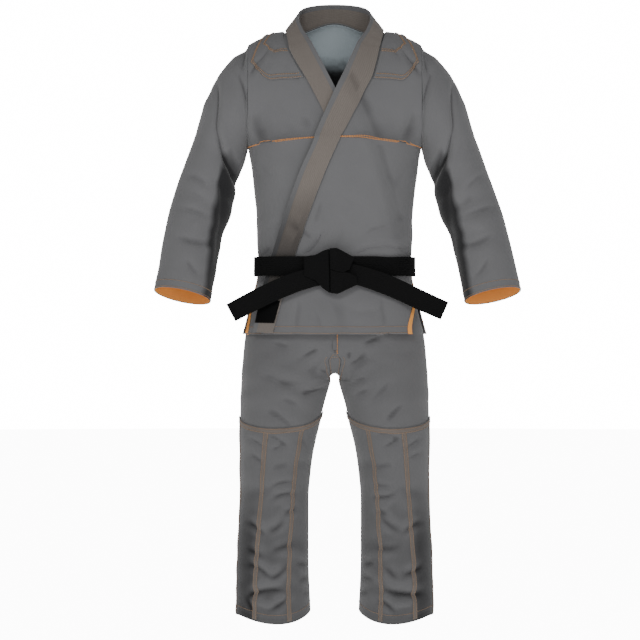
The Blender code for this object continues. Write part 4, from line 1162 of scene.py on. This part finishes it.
def place_strip(table, folded=False):
    """A flat strip of belt through its stations, outer face to the front. A folded one has corners."""
    def read(field, v):
        if not folded:
            return station_value(table, field, v)
        return np.interp(v * (len(table) - 1), np.arange(len(table)), [getattr(row, field) for row in table])

    def place(u, v, lift):
        upper_x, upper_z = read("upper_x", v), read("upper_z", v)
        lower_x, lower_z = read("lower_x", v), read("lower_z", v)
        y = station_value(table, "y", v) - lift - belt_ridges(u)
        return place_of(between(upper_x, lower_x, u), y, between(upper_z, lower_z, u))

    return place


# Colours of the cloth and thread, as linear values: light and dark yarn
Yarn = namedtuple("Yarn", "light dark")
GREY_COTTON = Yarn((0.168, 0.168, 0.172), (0.112, 0.112, 0.116))
GREY_DRILL = Yarn((0.140, 0.140, 0.143), (0.092, 0.092, 0.095))
TAUPE = Yarn((0.205, 0.182, 0.164), (0.120, 0.104, 0.092))
ORANGE_TWILL = Yarn((0.98, 0.44, 0.120), (0.86, 0.34, 0.075))
PALE_TWILL = Yarn((0.49, 0.56, 0.60), (0.37, 0.43, 0.46))
BLACK_COTTON = Yarn((0.0048, 0.0048, 0.0050), (0.0022, 0.0022, 0.0024))
BARE_BLACK = Yarn((0.0010, 0.0010, 0.0011), (0.0006, 0.0006, 0.0007))
SEAM_TINT = Yarn((0.170, 0.142, 0.124), (0.108, 0.096, 0.088))
TAN_THREAD = Yarn((0.34, 0.225, 0.145), (0.25, 0.160, 0.100))
ORANGE_THREAD = Yarn((0.72, 0.33, 0.12), (0.56, 0.24, 0.080))

PEARL_PITCH = 0.0024
TWILL_PITCH = 0.0016
COLLAR_ROW_PITCH = 0.0042
COLLAR_BEAD_PITCH = 0.0028
PLAIN_PITCH = 0.0021
TWILL_SLANT = 0.8
YARN_SCALE = 420.0
SPECULAR = 0.10
BUMP_STRENGTH = 0.6

# The lapel's width, and the share of it that the close rows of stitching cover
COLLAR_WIDTH = 0.055
COLLAR_BORDER = 0.84
COLLAR_BORDER_AT = COLLAR_WIDTH * COLLAR_BORDER
COLLAR_EDGE = (0.130, 0.130, 0.134)
# The painted shade inside the back, on the lining: how ragged its upper edge is, and the heights where it
# starts and where it is full
LINING_RAGGED = 0.03
LINING_DARK_FROM = -0.020
LINING_DARK_TO = -0.075
# The size of the random patches of lighter and darker tone in all the cloth
DUST_SCALE = 9.0

# Shade in hollows: how strongly a crease darkens, the most that shade may do, and its colour
HOLLOW_SHADE = 0.42
DARKEST = 0.93
HOLLOW_DARK = (0.010, 0.010, 0.011)


def node_of(tree, kind, **settings):
    """A new node of a material or the world, with its settings."""
    node = tree.nodes.new(kind)
    for name, value in settings.items():
        setattr(node, name, value)
    return node


def maths(tree, operation, first, second=None, third=None, clamp=False):
    """The output of a Math node. Its inputs are numbers or other nodes' outputs."""
    node = node_of(tree, "ShaderNodeMath", operation=operation, use_clamp=clamp)
    for socket, value in zip(node.inputs, (first, second, third)):
        if value is None:
            continue
        if isinstance(value, (int, float)):
            socket.default_value = value
        else:
            tree.links.new(value, socket)
    return node.outputs[0]


def mix_colours(tree, share, first, second):
    """The output of a colour mix. Its colours are tuples or other nodes' outputs."""
    node = node_of(tree, "ShaderNodeMix", data_type="RGBA")
    tree.links.new(share, node.inputs[0])
    for socket, value in ((node.inputs[6], first), (node.inputs[7], second)):
        if isinstance(value, tuple):
            socket.default_value = value + (1.0,)
        else:
            tree.links.new(value, socket)
    return node.outputs[2]


def ridges(tree, along, pitch):
    """A smooth wave from 0 to 1 with one crest each pitch."""
    wave = maths(tree, "SINE", maths(tree, "MULTIPLY", along, 2 * math.pi / pitch))
    return maths(tree, "MULTIPLY_ADD", wave, 0.5, 0.5)


def in_hollows(tree, colour):
    """Cloth is darker in its creases, and where two pieces hide it from the light."""
    hidden = node_of(tree, "ShaderNodeAttribute", attribute_name="shade").outputs["Fac"]
    return mix_colours(tree, maths(tree, "MINIMUM", hidden, DARKEST, clamp=True), colour, HOLLOW_DARK)


def woven(name, yarn, weave, roughness, sheen=0.25, relief=0.00022):
    """A cotton cloth: its weave reads the piece's own UV map, which is in metres."""
    material = bpy.data.materials.new(name)
    material.use_nodes = True
    tree = material.node_tree
    shader = tree.nodes["Principled BSDF"]
    shader.inputs["Roughness"].default_value = roughness
    shader.inputs["Sheen Weight"].default_value = sheen
    shader.inputs["Sheen Roughness"].default_value = 0.5
    shader.inputs["Specular IOR Level"].default_value = SPECULAR
    place = node_of(tree, "ShaderNodeUVMap", uv_map="UVMap").outputs[0]
    parts = node_of(tree, "ShaderNodeSeparateXYZ")
    tree.links.new(place, parts.inputs[0])
    across, along = parts.outputs[0], parts.outputs[1]
    solid_place = node_of(tree, "ShaderNodeTexCoord").outputs["Object"]
    patches = node_of(tree, "ShaderNodeTexNoise")
    patches.inputs["Scale"].default_value = DUST_SCALE
    patches.inputs["Detail"].default_value = 5.0
    tree.links.new(solid_place, patches.inputs["Vector"])
    yarns = node_of(tree, "ShaderNodeTexNoise")
    yarns.inputs["Scale"].default_value = YARN_SCALE
    yarns.inputs["Detail"].default_value = 3.0
    tree.links.new(place, yarns.inputs["Vector"])
    if weave == "pearl":
        warp = ridges(tree, across, PEARL_PITCH)
        column = maths(tree, "FLOOR", maths(tree, "DIVIDE", across, PEARL_PITCH))
        offset = maths(tree, "MULTIPLY", column, PEARL_PITCH / 2)
        weft = ridges(tree, maths(tree, "ADD", along, offset), PEARL_PITCH)
        height = maths(tree, "MULTIPLY", warp, weft)
    elif weave == "twill":
        slanted = maths(tree, "ADD", across, maths(tree, "MULTIPLY", along, TWILL_SLANT))
        height = ridges(tree, slanted, TWILL_PITCH)
    elif weave == "rows":
        rows = ridges(tree, across, COLLAR_ROW_PITCH)
        beads = ridges(tree, along, COLLAR_BEAD_PITCH)
        height = maths(tree, "ADD", maths(tree, "MULTIPLY", rows, 0.7), maths(tree, "MULTIPLY", beads, 0.3))
    else:
        height = ridges(tree, along, PLAIN_PITCH)
    grain = maths(tree, "MULTIPLY", yarns.outputs[0], 0.45)
    texture = maths(tree, "ADD", maths(tree, "MULTIPLY", height, 0.55), grain)
    worn = maths(tree, "MULTIPLY", patches.outputs[0], 0.45)
    shade = maths(tree, "MULTIPLY_ADD", texture, 0.55, worn)
    colour = mix_colours(tree, shade, yarn.dark, yarn.light)
    tree.links.new(in_hollows(tree, colour), shader.inputs["Base Color"])
    bump = node_of(tree, "ShaderNodeBump")
    bump.inputs["Strength"].default_value = BUMP_STRENGTH
    bump.inputs["Distance"].default_value = relief
    tree.links.new(texture, bump.inputs["Height"])
    tree.links.new(bump.outputs[0], shader.inputs["Normal"])
    return material, tree, shader, colour, across


def collar_material():
    """The lapel: taupe under close rows of stitching, with a plain grey rolled edge on its inner side."""
    material, tree, shader, taupe, across = woven("ribbed_lapel", TAUPE, "rows", 0.85, relief=0.0006)
    border = maths(tree, "GREATER_THAN", across, COLLAR_BORDER_AT)
    colour = mix_colours(tree, border, taupe, COLLAR_EDGE)
    tree.links.new(in_hollows(tree, colour), shader.inputs["Base Color"])
    return material


def lining_material():
    """The yoke lining, pale at the neck and dark further down inside the jacket, where no light comes."""
    material, tree, shader, pale, _ = woven("pale_lining", PALE_TWILL, "twill", 0.75)
    parts = node_of(tree, "ShaderNodeSeparateXYZ")
    tree.links.new(node_of(tree, "ShaderNodeTexCoord").outputs["Object"], parts.inputs[0])
    ragged = node_of(tree, "ShaderNodeTexNoise")
    ragged.inputs["Scale"].default_value = 14.0
    height = maths(tree, "MULTIPLY_ADD", ragged.outputs[0], LINING_RAGGED, parts.outputs[2])
    depth = node_of(tree, "ShaderNodeMapRange", interpolation_type="SMOOTHSTEP")
    tree.links.new(height, depth.inputs["Value"])
    depth.inputs["From Min"].default_value = LINING_DARK_FROM
    depth.inputs["From Max"].default_value = LINING_DARK_TO
    tree.links.new(mix_colours(tree, depth.outputs[0], pale, HOLLOW_DARK), shader.inputs["Base Color"])
    return material


jacket_cloth = woven("pearl_weave", GREY_COTTON, "pearl", 0.92)[0]
trouser_cloth = woven("grey_drill", GREY_DRILL, "twill", 0.85, relief=0.00015)[0]
orange_cloth = woven("orange_twill", ORANGE_TWILL, "twill", 0.8, sheen=0.0)[0]
lining_cloth = lining_material()
belt_cloth = woven("black_belt_cotton", BLACK_COTTON, "plain", 0.8, sheen=0.0)[0]
patch_cloth = woven("bare_black_patch", BARE_BLACK, "plain", 0.6, sheen=0.0)[0]
tan_thread = woven("tan_thread", TAN_THREAD, "plain", 0.6, sheen=0.1)[0]
orange_thread = woven("orange_thread", ORANGE_THREAD, "plain", 0.6, sheen=0.1)[0]
seam_cloth = woven("felled_seam", SEAM_TINT, "twill", 0.85, relief=0.00015)[0]
ribbed_lapel = collar_material()


def only(obj):
    """Makes one object the only one that operators act on."""
    bpy.ops.object.select_all(action="DESELECT")
    obj.select_set(True)
    bpy.context.view_layer.objects.active = obj


def apply_modifier(obj, kind, **settings):
    only(obj)
    modifier = obj.modifiers.new(kind.title(), kind)
    for name, value in settings.items():
        setattr(modifier, name, value)
    bpy.ops.object.modifier_apply(modifier=modifier.name)


# Cavities: how far away the surroundings are read, and the depth that counts as full
CAVITY_REACH = 0.015
CAVITY_FULL = 0.0030


def hollows(grid, out, closed):
    """How far each point of a grid lies below its surroundings, as a share from -1 to 1."""
    rows, columns = grid.shape[:2]
    step_across = np.linalg.norm(np.diff(grid, axis=1), axis=2).mean()
    step_down = np.linalg.norm(np.diff(grid, axis=0), axis=2).mean()
    far_across = max(int(round(CAVITY_REACH / step_across)), 1)
    far_down = max(int(round(CAVITY_REACH / step_down)), 1)
    around = np.zeros(grid.shape)
    for way in (-1, 1):
        beside = np.arange(columns) + way * far_across
        beside = beside % (columns - 1) if closed else np.clip(beside, 0, columns - 1)
        below = np.clip(np.arange(rows) + way * far_down, 0, rows - 1)
        around += grid[:, beside] + grid[below, :]
    depth = ((around / 4 - grid) * out).sum(axis=2)
    inside = np.zeros((rows, columns))
    if columns < 2 * far_across + 3:
        return inside
    inside[far_down:rows - far_down] = 1.0
    if not closed:
        inside[:, :far_across] = 0.0
        inside[:, columns - far_across:] = 0.0
    return np.clip(depth / CAVITY_FULL, -1, 1) * inside


# Sewing: how near points merge at a closed seam, the widest angle that stays smooth, and the step that finds
# which way a sheet faces
MERGE = 1e-5
SMOOTH_ANGLE = math.radians(50)
PROBE = 0.01
cut_list = []


def sew(name, nodes, size, place, wall, material, closed=False, shade=None):
    """One piece of cloth on its solid's form: a grid laid by place(u, v, lift), its wall grown outwards."""
    columns, rows = size
    bpy.ops.object.select_all(action="DESELECT")
    bpy.ops.mesh.primitive_grid_add(x_subdivisions=columns, y_subdivisions=rows, size=1)
    piece = bpy.context.active_object
    piece.name = name
    mesh = piece.data
    mesh.name = name
    flat = np.empty(len(mesh.vertices) * 3)
    mesh.vertices.foreach_get("co", flat)
    flat = flat.reshape(-1, 3) + 0.5
    u, v = flat[:, 0], flat[:, 1]
    points = place(u, v, np.zeros(len(u)))
    grid = points.reshape(rows + 1, columns + 1, 3)
    width = float(np.linalg.norm(np.diff(grid, axis=1), axis=2).sum(axis=1).mean())
    length = float(np.linalg.norm(np.diff(grid, axis=0), axis=2).sum(axis=0).mean())
    mesh.vertices.foreach_set("co", points.ravel())
    lifted = place(u, v, np.full(len(u), SEAM)).reshape(grid.shape) - grid
    hidden = hollows(grid, lifted / np.maximum(length_of(lifted), NO_LENGTH), closed).ravel() * HOLLOW_SHADE
    if shade is not None:
        hidden = hidden + shade(u, v)
    mesh.attributes.new("shade", "FLOAT", "POINT").data.foreach_set("value", hidden)
    layer = mesh.uv_layers["UVMap"].data
    coords = np.empty(len(layer) * 2)
    layer.foreach_get("uv", coords)
    coords = coords.reshape(-1, 2) * (width, length)
    layer.foreach_set("uv", coords.ravel())
    spread = float(sum(polygon.area for polygon in mesh.polygons))
    middle = np.array([0.5]), np.array([0.5])
    outward = place(*middle, np.array([SEAM])) - place(*middle, np.array([0.0]))
    ahead = place(middle[0] + PROBE, middle[1], np.array([0.0])) - place(*middle, np.array([0.0]))
    down = place(middle[0], middle[1] + PROBE, np.array([0.0])) - place(*middle, np.array([0.0]))
    only(piece)
    bpy.ops.object.mode_set(mode="EDIT")
    bpy.ops.mesh.select_all(action="SELECT")
    if closed:
        bpy.ops.mesh.remove_doubles(threshold=MERGE)
    if float((np.cross(ahead, down) * outward).sum()) < 0:
        bpy.ops.mesh.flip_normals()
    bpy.ops.object.mode_set(mode="OBJECT")
    apply_modifier(piece, "SOLIDIFY", thickness=wall, offset=1)
    mesh.materials.clear()
    mesh.materials.append(material)
    only(piece)
    bpy.ops.object.shade_smooth_by_angle(angle=SMOOTH_ANGLE)
    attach(piece, "root")
    if nodes:
        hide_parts(*nodes)
    cut_list.append((name, width, length, spread))
    return piece


# Stitches: the length of one, the gap to the next, the sides of the thread, its share of the full
# thickness at both ends and in the middle, how flat it lies and how far its middle stands off the cloth
STITCH = 0.0030
STITCH_GAP = 0.0010
STITCH_SIDES = 5
STITCH_FATNESS = (0.45, 1.0, 0.45)
STITCH_FLAT = 0.8
STITCH_RISE = 0.35


def stitch_rows(name, rows, material, thread):
    """Rows of thread: each row is a line of points on the cloth with the way out of it at each."""
    points, faces = [], []
    for line, out in rows:
        steps = np.linalg.norm(np.diff(line, axis=0), axis=1)
        reach = np.concatenate(([0.0], np.cumsum(steps)))
        count = max(int(reach[-1] / (STITCH + STITCH_GAP)), 1)
        for k in range(count):
            start = k * reach[-1] / count
            at = np.array([0.0, 0.5, 1.0]) * STITCH + start
            middle = np.stack([np.interp(at, reach, line[:, i]) for i in range(3)], axis=1)
            up = np.stack([np.interp(at, reach, out[:, i]) for i in range(3)], axis=1)
            ahead = middle[-1] - middle[0]
            sideways = np.cross(ahead, up)
            sideways /= np.maximum(length_of(sideways), NO_LENGTH)
            first = len(points)
            for ring, fatness in enumerate(STITCH_FATNESS):
                for corner in range(STITCH_SIDES):
                    turn = 2 * math.pi * corner / STITCH_SIDES
                    radius = thread * fatness
                    offset = sideways[ring] * math.cos(turn) * radius
                    offset = offset + up[ring] * math.sin(turn) * radius * STITCH_FLAT
                    points.append(middle[ring] + up[ring] * thread * STITCH_RISE + offset)
            for ring in range(2):
                for corner in range(STITCH_SIDES):
                    a = first + ring * STITCH_SIDES + corner
                    b = first + ring * STITCH_SIDES + (corner + 1) % STITCH_SIDES
                    faces.append((a, b, b + STITCH_SIDES, a + STITCH_SIDES))
            faces.append(tuple(first + corner for corner in reversed(range(STITCH_SIDES))))
            faces.append(tuple(first + 2 * STITCH_SIDES + corner for corner in range(STITCH_SIDES)))
    mesh = bpy.data.meshes.new(name)
    mesh.from_pydata([tuple(point) for point in points], [], faces)
    mesh.uv_layers.new(name="UVMap")
    piece = bpy.data.objects.new(name, mesh)
    bpy.context.scene.collection.objects.link(piece)
    only(piece)
    bpy.ops.object.mode_set(mode="EDIT")
    bpy.ops.mesh.select_all(action="SELECT")
    bpy.ops.mesh.normals_make_consistent(inside=False)
    bpy.ops.object.mode_set(mode="OBJECT")
    mesh.shade_smooth()
    mesh.materials.append(material)
    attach(piece, "root")
    return piece


def row_on(place, us, vs, wall):
    """A line on the outer face of a piece, and the way out of it."""
    us, vs = np.broadcast_arrays(np.asarray(us, float), np.asarray(vs, float))
    face = place(us, vs, np.full(us.shape, wall))
    out = place(us, vs, np.full(us.shape, wall + MM)) - face
    return face, out / np.maximum(length_of(out), NO_LENGTH)


def line(start, end, count=60):
    return np.linspace(start, end, count)


# The pieces
upper_fronts = {"left": place_front(SHOULDER_START, CHEST_DOWN, True),
                "right": place_front(SHOULDER_START, CHEST_DOWN, False)}
lower_fronts = {"left": place_front(CHEST_DOWN + SEAM_DOWN, 2.0, True),
                "right": place_front(CHEST_DOWN + SEAM_DOWN, 2.0, False)}
sleeves = {"left": place_sleeve(1), "right": place_sleeve(-1)}
legs = {("left", False): place_leg(1, False), ("left", True): place_leg(1, True),
        ("right", False): place_leg(-1, False), ("right", True): place_leg(-1, True)}

# Painted shade: how dark the cloth is made where another piece keeps the light off it, and down the shins,
# where less light reaches
INNER_SLEEVE_SHADE = 1.3
SHIN_SHADE = 0.28
OUTER_SHIN_SHADE = 0.55
LAPEL_SHADE = 0.75


def painted_sleeve_shade(u, v):
    """Painted shade: the inner side of a sleeve is dark from the elbow down, where it hangs beside the body.
    """
    inward = np.cos(2 * math.pi * u)
    edge = between(0.18, 0.62, ramp(0.4, 1.0, v))
    return INNER_SLEEVE_SHADE * ramp(edge, edge + 0.35, inward) * ramp(0.24, 0.44, v)


def painted_shin_shade(u, v):
    """Painted shade: the shins are darker towards the hem, and most on their outer side."""
    return SHIN_SHADE * ramp(0.0, 0.7, v) + OUTER_SHIN_SHADE * ramp(0.6, 0.72, u) * ramp(0.25, 0.6, v)


def painted_lapel_shade(_, v):
    """Painted shade: the over lapel is darker above the belt, where it runs in under it."""
    return LAPEL_SHADE * ramp(0.78, 0.90, v) * ramp(0.965, 0.93, v)


sew("back_cloth", ["back"], (132, 154), place_back, JACKET_WALL, jacket_cloth)
sew("yoke_lining_cloth", ["yoke_lining"], (48, 30), place_lining, FACING_WALL, lining_cloth)
for word, side in (("left", 1), ("right", -1)):
    sew("front_upper_cloth_" + word, ["front_upper_" + word], (72, 78), upper_fronts[word], JACKET_WALL,
        jacket_cloth)
    sew("front_lower_cloth_" + word, ["front_lower_" + word], (108, 121), lower_fronts[word], JACKET_WALL,
        jacket_cloth)
    sew("sleeve_cloth_" + word, ["sleeve_" + word], (120, 168), sleeves[word], JACKET_WALL,
        jacket_cloth, closed=True, shade=painted_sleeve_shade)
    sew("armhole_allowance_" + word, [], (100, 6), place_allowance(sleeves[word], side), SEAM, jacket_cloth,
        closed=True)
    sew("cuff_facing_cloth_" + word, ["cuff_facing_" + word], (100, 18), place_facing(sleeves[word]),
        FACING_WALL, orange_cloth, closed=True)
    sew("shoulder_patch_cloth_" + word, ["shoulder_patch_" + word], (28, 60), place_shoulder_patch(side),
        PATCH_WALL, jacket_cloth)
    front_tape = place_tape(lower_fronts[word], FRONT_COLUMNS, LOWER_VENT_ROW, LOWER_ROWS, True)
    sew("vent_tape_front_cloth_" + word, ["vent_tape_front_" + word], (5, 36), front_tape, FACING_WALL,
        orange_cloth)
    back_tape = place_tape(place_back, BACK_COLUMNS, BACK_VENT_ROW, BACK_ROWS, side > 0)
    sew("vent_tape_back_cloth_" + word, ["vent_tape_back_" + word], (5, 36), back_tape, FACING_WALL,
        orange_cloth)
    for is_back, face in ((False, "front"), (True, "back")):
        sew("leg_%s_cloth_%s" % (face, word), ["leg_%s_%s" % (face, word)], (56, 154), legs[word, is_back],
            TROUSER_WALL, trouser_cloth)
    sew("knee_panel_cloth_" + word, ["knee_panel_" + word], (56, 88), place_knee(legs[word, False]),
        PATCH_WALL, trouser_cloth,
        shade=painted_shin_shade)
sew("collar_cloth_band", ["collar"], (14, 460), place_collar, LAPEL_WALL, ribbed_lapel,
    shade=painted_lapel_shade)
sew("lapel_patch_cloth", ["lapel_patch"], (16, 12), place_lapel_patch, FACING_WALL, patch_cloth)
sew("gusset_cloth", ["gusset"], (18, 48), place_gusset, TROUSER_WALL, trouser_cloth)
sew("waistband_cloth", ["waistband"], (120, 6), place_waistband, WAISTBAND_WALL, trouser_cloth,
    closed=True)
sew("belt_wrap_cloth", ["belt_wrap"], (220, 45), place_belt, BELT_WALL, belt_cloth, closed=True)
TAIL_GRID = (45, 60)
FOLD_GRID = (45, 30)
for name, table in (("belt_tail_right", TAIL_RIGHT), ("belt_tail_left", TAIL_LEFT)):
    sew(name + "_cloth", [name], TAIL_GRID, place_strip(table), TAIL_WALL, belt_cloth)
for name, table in (("knot_fan", KNOT_FAN), ("knot_over", KNOT_OVER), ("knot_under", KNOT_UNDER)):
    sew(name + "_cloth", [name], FOLD_GRID, place_strip(table, True), TAIL_WALL, belt_cloth)
sew("knot_core_cloth", [], (45, 6), place_strip(KNOT_CORE), TAIL_WALL, belt_cloth)

# Seam allowances inside the trousers: half the width along the centre seam, how far behind the cloth they
# lie, how far they pass the waist and stop short of the gusset, and their share of a leg's width
ALLOWANCE = 0.005
ALLOWANCE_DEPTH = 0.0009
PAST_WAIST = 0.01
SHORT_OF_GUSSET = 0.006
LEG_ALLOWANCE = 0.022
INNER_SEAM_START = 0.42
SEAM_TOP = 0.004
SEAM_FOOT = 0.996


def place_centre_allowance(back):
    """The turned-in edges behind the centre seam."""
    field, facing = ("back_depth", 1) if back else ("front_depth", -1)

    def place(u, v, lift):
        height = between(WAIST - PAST_WAIST, GUSSET_ROWS[0] + SHORT_OF_GUSSET, v)
        depth = table_value(LEG, field, height) - ALLOWANCE_DEPTH + lift
        return place_of(between(-ALLOWANCE, ALLOWANCE, u), facing * depth, height)

    return place


for is_back, face in ((False, "front"), (True, "back")):
    sew("centre_seam_allowance_" + face, [], (4, 40), place_centre_allowance(is_back), SEAM, trouser_cloth)


def place_leg_allowance(front, back, edge, start):
    """The turned-in edges behind a leg's side seam (edge 1) or inner seam (edge 0)."""
    across = between(LEG_ALLOWANCE, 1 - LEG_ALLOWANCE, edge)

    def place(u, v, lift):
        down = between(start, SEAM_FOOT, v)
        behind_wall = lift - ALLOWANCE_DEPTH
        before = front(across + 0 * u, down, behind_wall)
        behind = back(across + 0 * u, down, behind_wall)
        return before + (behind - before) * u[..., None]

    return place


for word in ("left", "right"):
    for seam, edge, start in (("side", 1, SEAM_TOP), ("inner", 0, INNER_SEAM_START)):
        place = place_leg_allowance(legs[word, False], legs[word, True], edge, start)
        sew("%s_seam_allowance_%s" % (seam, word), [], (4, 110), place, SEAM, trouser_cloth)

# Felled seams: how far they stand up, their width, where their two rows of stitches run across them and
# where they start and end on a knee panel
SEAM_RISE = 0.0007
BAND = 0.0125
BAND_ROWS = (0.14, 0.86)
BAND_TOP = 0.02
BAND_FOOT = 0.992
LEG_WIDTH = 0.30
LEG_LENGTH = 0.47
jacket_rows, tan_rows, patch_rows, trouser_rows = [], [], [], []


def felled_seam(name, panel, width, wall, middle, start, end, along="v"):
    """A raised double-stitched band down or across a panel. Its place there is a share of the panel:
    middle holds the first and the last one, and it drifts smoothly from one to the other."""
    def place(u, v, lift):
        off = between(-0.5, 0.5, u) * BAND / width
        t = between(start, end, v)
        at = between(middle[0], middle[1], ramp(0.0, 1.0, t)) + off
        lift = lift + wall + SEAM_RISE * np.sin(math.pi * np.clip(u, 0.0, 1.0)) ** 0.5
        return panel(at, t, lift) if along == "v" else panel(t, at, lift)

    sew(name, [], (6, 110), place, SEAM, seam_cloth)
    for edge in BAND_ROWS:
        trouser_rows.append(row_on(place, edge, line(SEAM_TOP, SEAM_FOOT, 110), SEAM))


# Rows of stitches, as shares of each panel's width or length
CHEST_ROWS = (0.9935, 0.9755)
FRONT_HEM_ROWS = (0.966, 0.996)
CUFF_ROWS = (0.962, 0.994)
BACK_HEM_ROWS = (0.972, 0.995)
PATCH_INSETS = (0.016, 0.064)
SHIN_SEAMS = ((0.30, 0.355), (0.60, 0.66))
KNEE_SEAM_MIDDLE = (0.0155, 0.0155)
SIDE_SEAM_MIDDLE = (0.93, 0.93)
KNEE_HEM_ROW = 0.955
LEG_HEM_ROW = 0.977
GUSSET_END_ROWS = (0.05, 0.10)
GUSSET_SIDE_ROWS = (0.2, 0.8)
for word, side in (("left", 1), ("right", -1)):
    upper, lower, sleeve = upper_fronts[word], lower_fronts[word], sleeves[word]
    for down in CHEST_ROWS:
        jacket_rows.append(row_on(upper, line(0.02, 0.995, 90), down, JACKET_WALL))
    for down in FRONT_HEM_ROWS:
        tan_rows.append(row_on(lower, line(0.02, 0.99, 90), down, JACKET_WALL))
    for end in CUFF_ROWS:
        tan_rows.append(row_on(sleeve, line(0, 1, 120), end, JACKET_WALL))
    for size in (1.0, INNER_PATCH):
        patch = place_shoulder_patch(side, size)
        shown = PATCH_WALL if size == 1.0 else PATCH_WALL + SEAM / 2
        for inset in PATCH_INSETS:
            patch_rows.append(row_on(patch, line(0.02, 1 - inset), inset / 2, shown))
            patch_rows.append(row_on(patch, line(0.02, 1 - inset), 1 - inset / 2, shown))
            patch_rows.append(row_on(patch, 1 - inset, line(inset / 2, 1 - inset / 2), shown))
    leg = legs[word, False]
    knee = place_knee(leg)
    for number, middle in enumerate(SHIN_SEAMS):
        felled_seam("shin_seam_%d_%s" % (number, word), knee, LEG_WIDTH, PATCH_WALL, middle,
                    BAND_TOP, BAND_FOOT)
    felled_seam("knee_seam_" + word, knee, LEG_LENGTH, PATCH_WALL, KNEE_SEAM_MIDDLE,
                SEAM_TOP, SEAM_FOOT, "u")
    felled_seam("side_seam_" + word, knee, LEG_WIDTH, PATCH_WALL, SIDE_SEAM_MIDDLE,
                BAND_TOP, BAND_FOOT)
    trouser_rows.append(row_on(knee, line(0.005, 0.995, 90), KNEE_HEM_ROW, PATCH_WALL))
    trouser_rows.append(row_on(legs[word, True], line(0.005, 0.995, 90), LEG_HEM_ROW, TROUSER_WALL))
    trouser_rows.append(row_on(leg, 0.03, line(0.255, 0.40, 40), TROUSER_WALL))
jacket_rows.append(row_on(legs["left", False], 0.016, line(0.10, 0.238, 40), TROUSER_WALL))
for down in BACK_HEM_ROWS:
    tan_rows.append(row_on(place_back, line(0.02, 0.98, 160), down, JACKET_WALL))
for along in GUSSET_END_ROWS:
    trouser_rows.append(row_on(place_gusset, line(0.25, 0.75, 20), along, TROUSER_WALL))
for edge in GUSSET_SIDE_ROWS:
    trouser_rows.append(row_on(place_gusset, edge, line(0.02, 0.98, 90), TROUSER_WALL))
# The radius of each thread
THICK_THREAD = 0.0016
HEM_THREAD = 0.0009
LEG_THREAD = 0.0008
stitch_rows("chest_seam_stitches", jacket_rows, orange_thread, THICK_THREAD)
stitch_rows("shoulder_stitches", patch_rows, tan_thread, THICK_THREAD)
stitch_rows("jacket_stitches", tan_rows, tan_thread, HEM_THREAD)
stitch_rows("trouser_stitches", trouser_rows, tan_thread, LEG_THREAD)

# The floor: pale where it is seen, and a weaker glow for the light that it throws back
FLOOR_Z = -1.50
FLOOR_RADIUS = 14.0
FLOOR_PAINT = (0.93, 0.93, 0.93, 1)
FLOOR_SEEN = 12.0
FLOOR_GLOW = 0.9
WHITE = (1, 1, 1, 1)
bpy.ops.object.select_all(action="DESELECT")
bpy.ops.mesh.primitive_circle_add(vertices=96, radius=FLOOR_RADIUS, fill_type="NGON",
                                  location=(0, 0, FLOOR_Z))
floor = bpy.context.active_object
floor.name = "floor"
floor_paint = bpy.data.materials.new("pale_floor")
floor_paint.use_nodes = True
paint = floor_paint.node_tree
floor_shader = paint.nodes["Principled BSDF"]
floor_shader.inputs["Base Color"].default_value = FLOOR_PAINT
floor_shader.inputs["Roughness"].default_value = 0.9
floor_shader.inputs["Emission Color"].default_value = WHITE
floor_seen = node_of(paint, "ShaderNodeLightPath").outputs["Is Camera Ray"]
floor_light = maths(paint, "MULTIPLY_ADD", floor_seen, FLOOR_SEEN - FLOOR_GLOW, FLOOR_GLOW)
paint.links.new(floor_light, floor_shader.inputs["Emission Strength"])
floor.data.materials.append(floor_paint)

# The studio: white where it is seen, and a weak even light
SKY_SEEN = 16.0
SKY_LIGHT = 0.20
world = bpy.data.worlds.new("studio")
world.use_nodes = True
bpy.context.scene.world = world
sky = world.node_tree
background = sky.nodes["Background"]
background.inputs["Color"].default_value = WHITE
seen = node_of(sky, "ShaderNodeLightPath").outputs["Is Camera Ray"]
strength = maths(sky, "MULTIPLY_ADD", seen, SKY_SEEN - SKY_LIGHT, SKY_LIGHT)
sky.links.new(strength, background.inputs["Strength"])

# Lamps: where each stands, what it faces, the side of its square in metres and its power in watts
Lamp = namedtuple("Lamp", "name place target size power")
LAMPS = [
    Lamp("key", (-0.9, -3.6, 1.5), (0, 0, -0.55), 1.1, 61),
    Lamp("fill", (1.3, -3.6, 0.2), (0, 0, -0.7), 1.6, 25),
]


def add_lamp(lamp):
    """A square soft light that faces its target."""
    light = bpy.data.lights.new(lamp.name, "AREA")
    light.size = lamp.size
    light.energy = lamp.power
    obj = bpy.data.objects.new(lamp.name, light)
    bpy.context.scene.collection.objects.link(obj)
    obj.location = lamp.place
    heading = np.array(lamp.target) - np.array(lamp.place)
    tilt = math.atan2(math.hypot(heading[0], heading[1]), -heading[2])
    obj.rotation_euler = (tilt, 0, math.atan2(heading[1], heading[0]) - RIGHT_ANGLE)


for lamp in LAMPS:
    add_lamp(lamp)

# The camera looks level at the garment's middle
CAMERA_PLACE = (-0.035, -6.5, -0.682)
CAMERA_LENS = 152.6
CAMERA_SENSOR = 36
camera_data = bpy.data.cameras.new("camera")
camera_data.lens = CAMERA_LENS
camera_data.sensor_width = CAMERA_SENSOR
camera = bpy.data.objects.new("camera", camera_data)
bpy.context.scene.collection.objects.link(camera)
camera.location = CAMERA_PLACE
camera.rotation_euler = (RIGHT_ANGLE, 0, 0)
bpy.context.scene.camera = camera

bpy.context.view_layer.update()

# The cut of each sheet: its flat width, length and area
for entry in cut_list:
    print("CUT %-28s %.3f x %.3f, area %.4f" % entry)
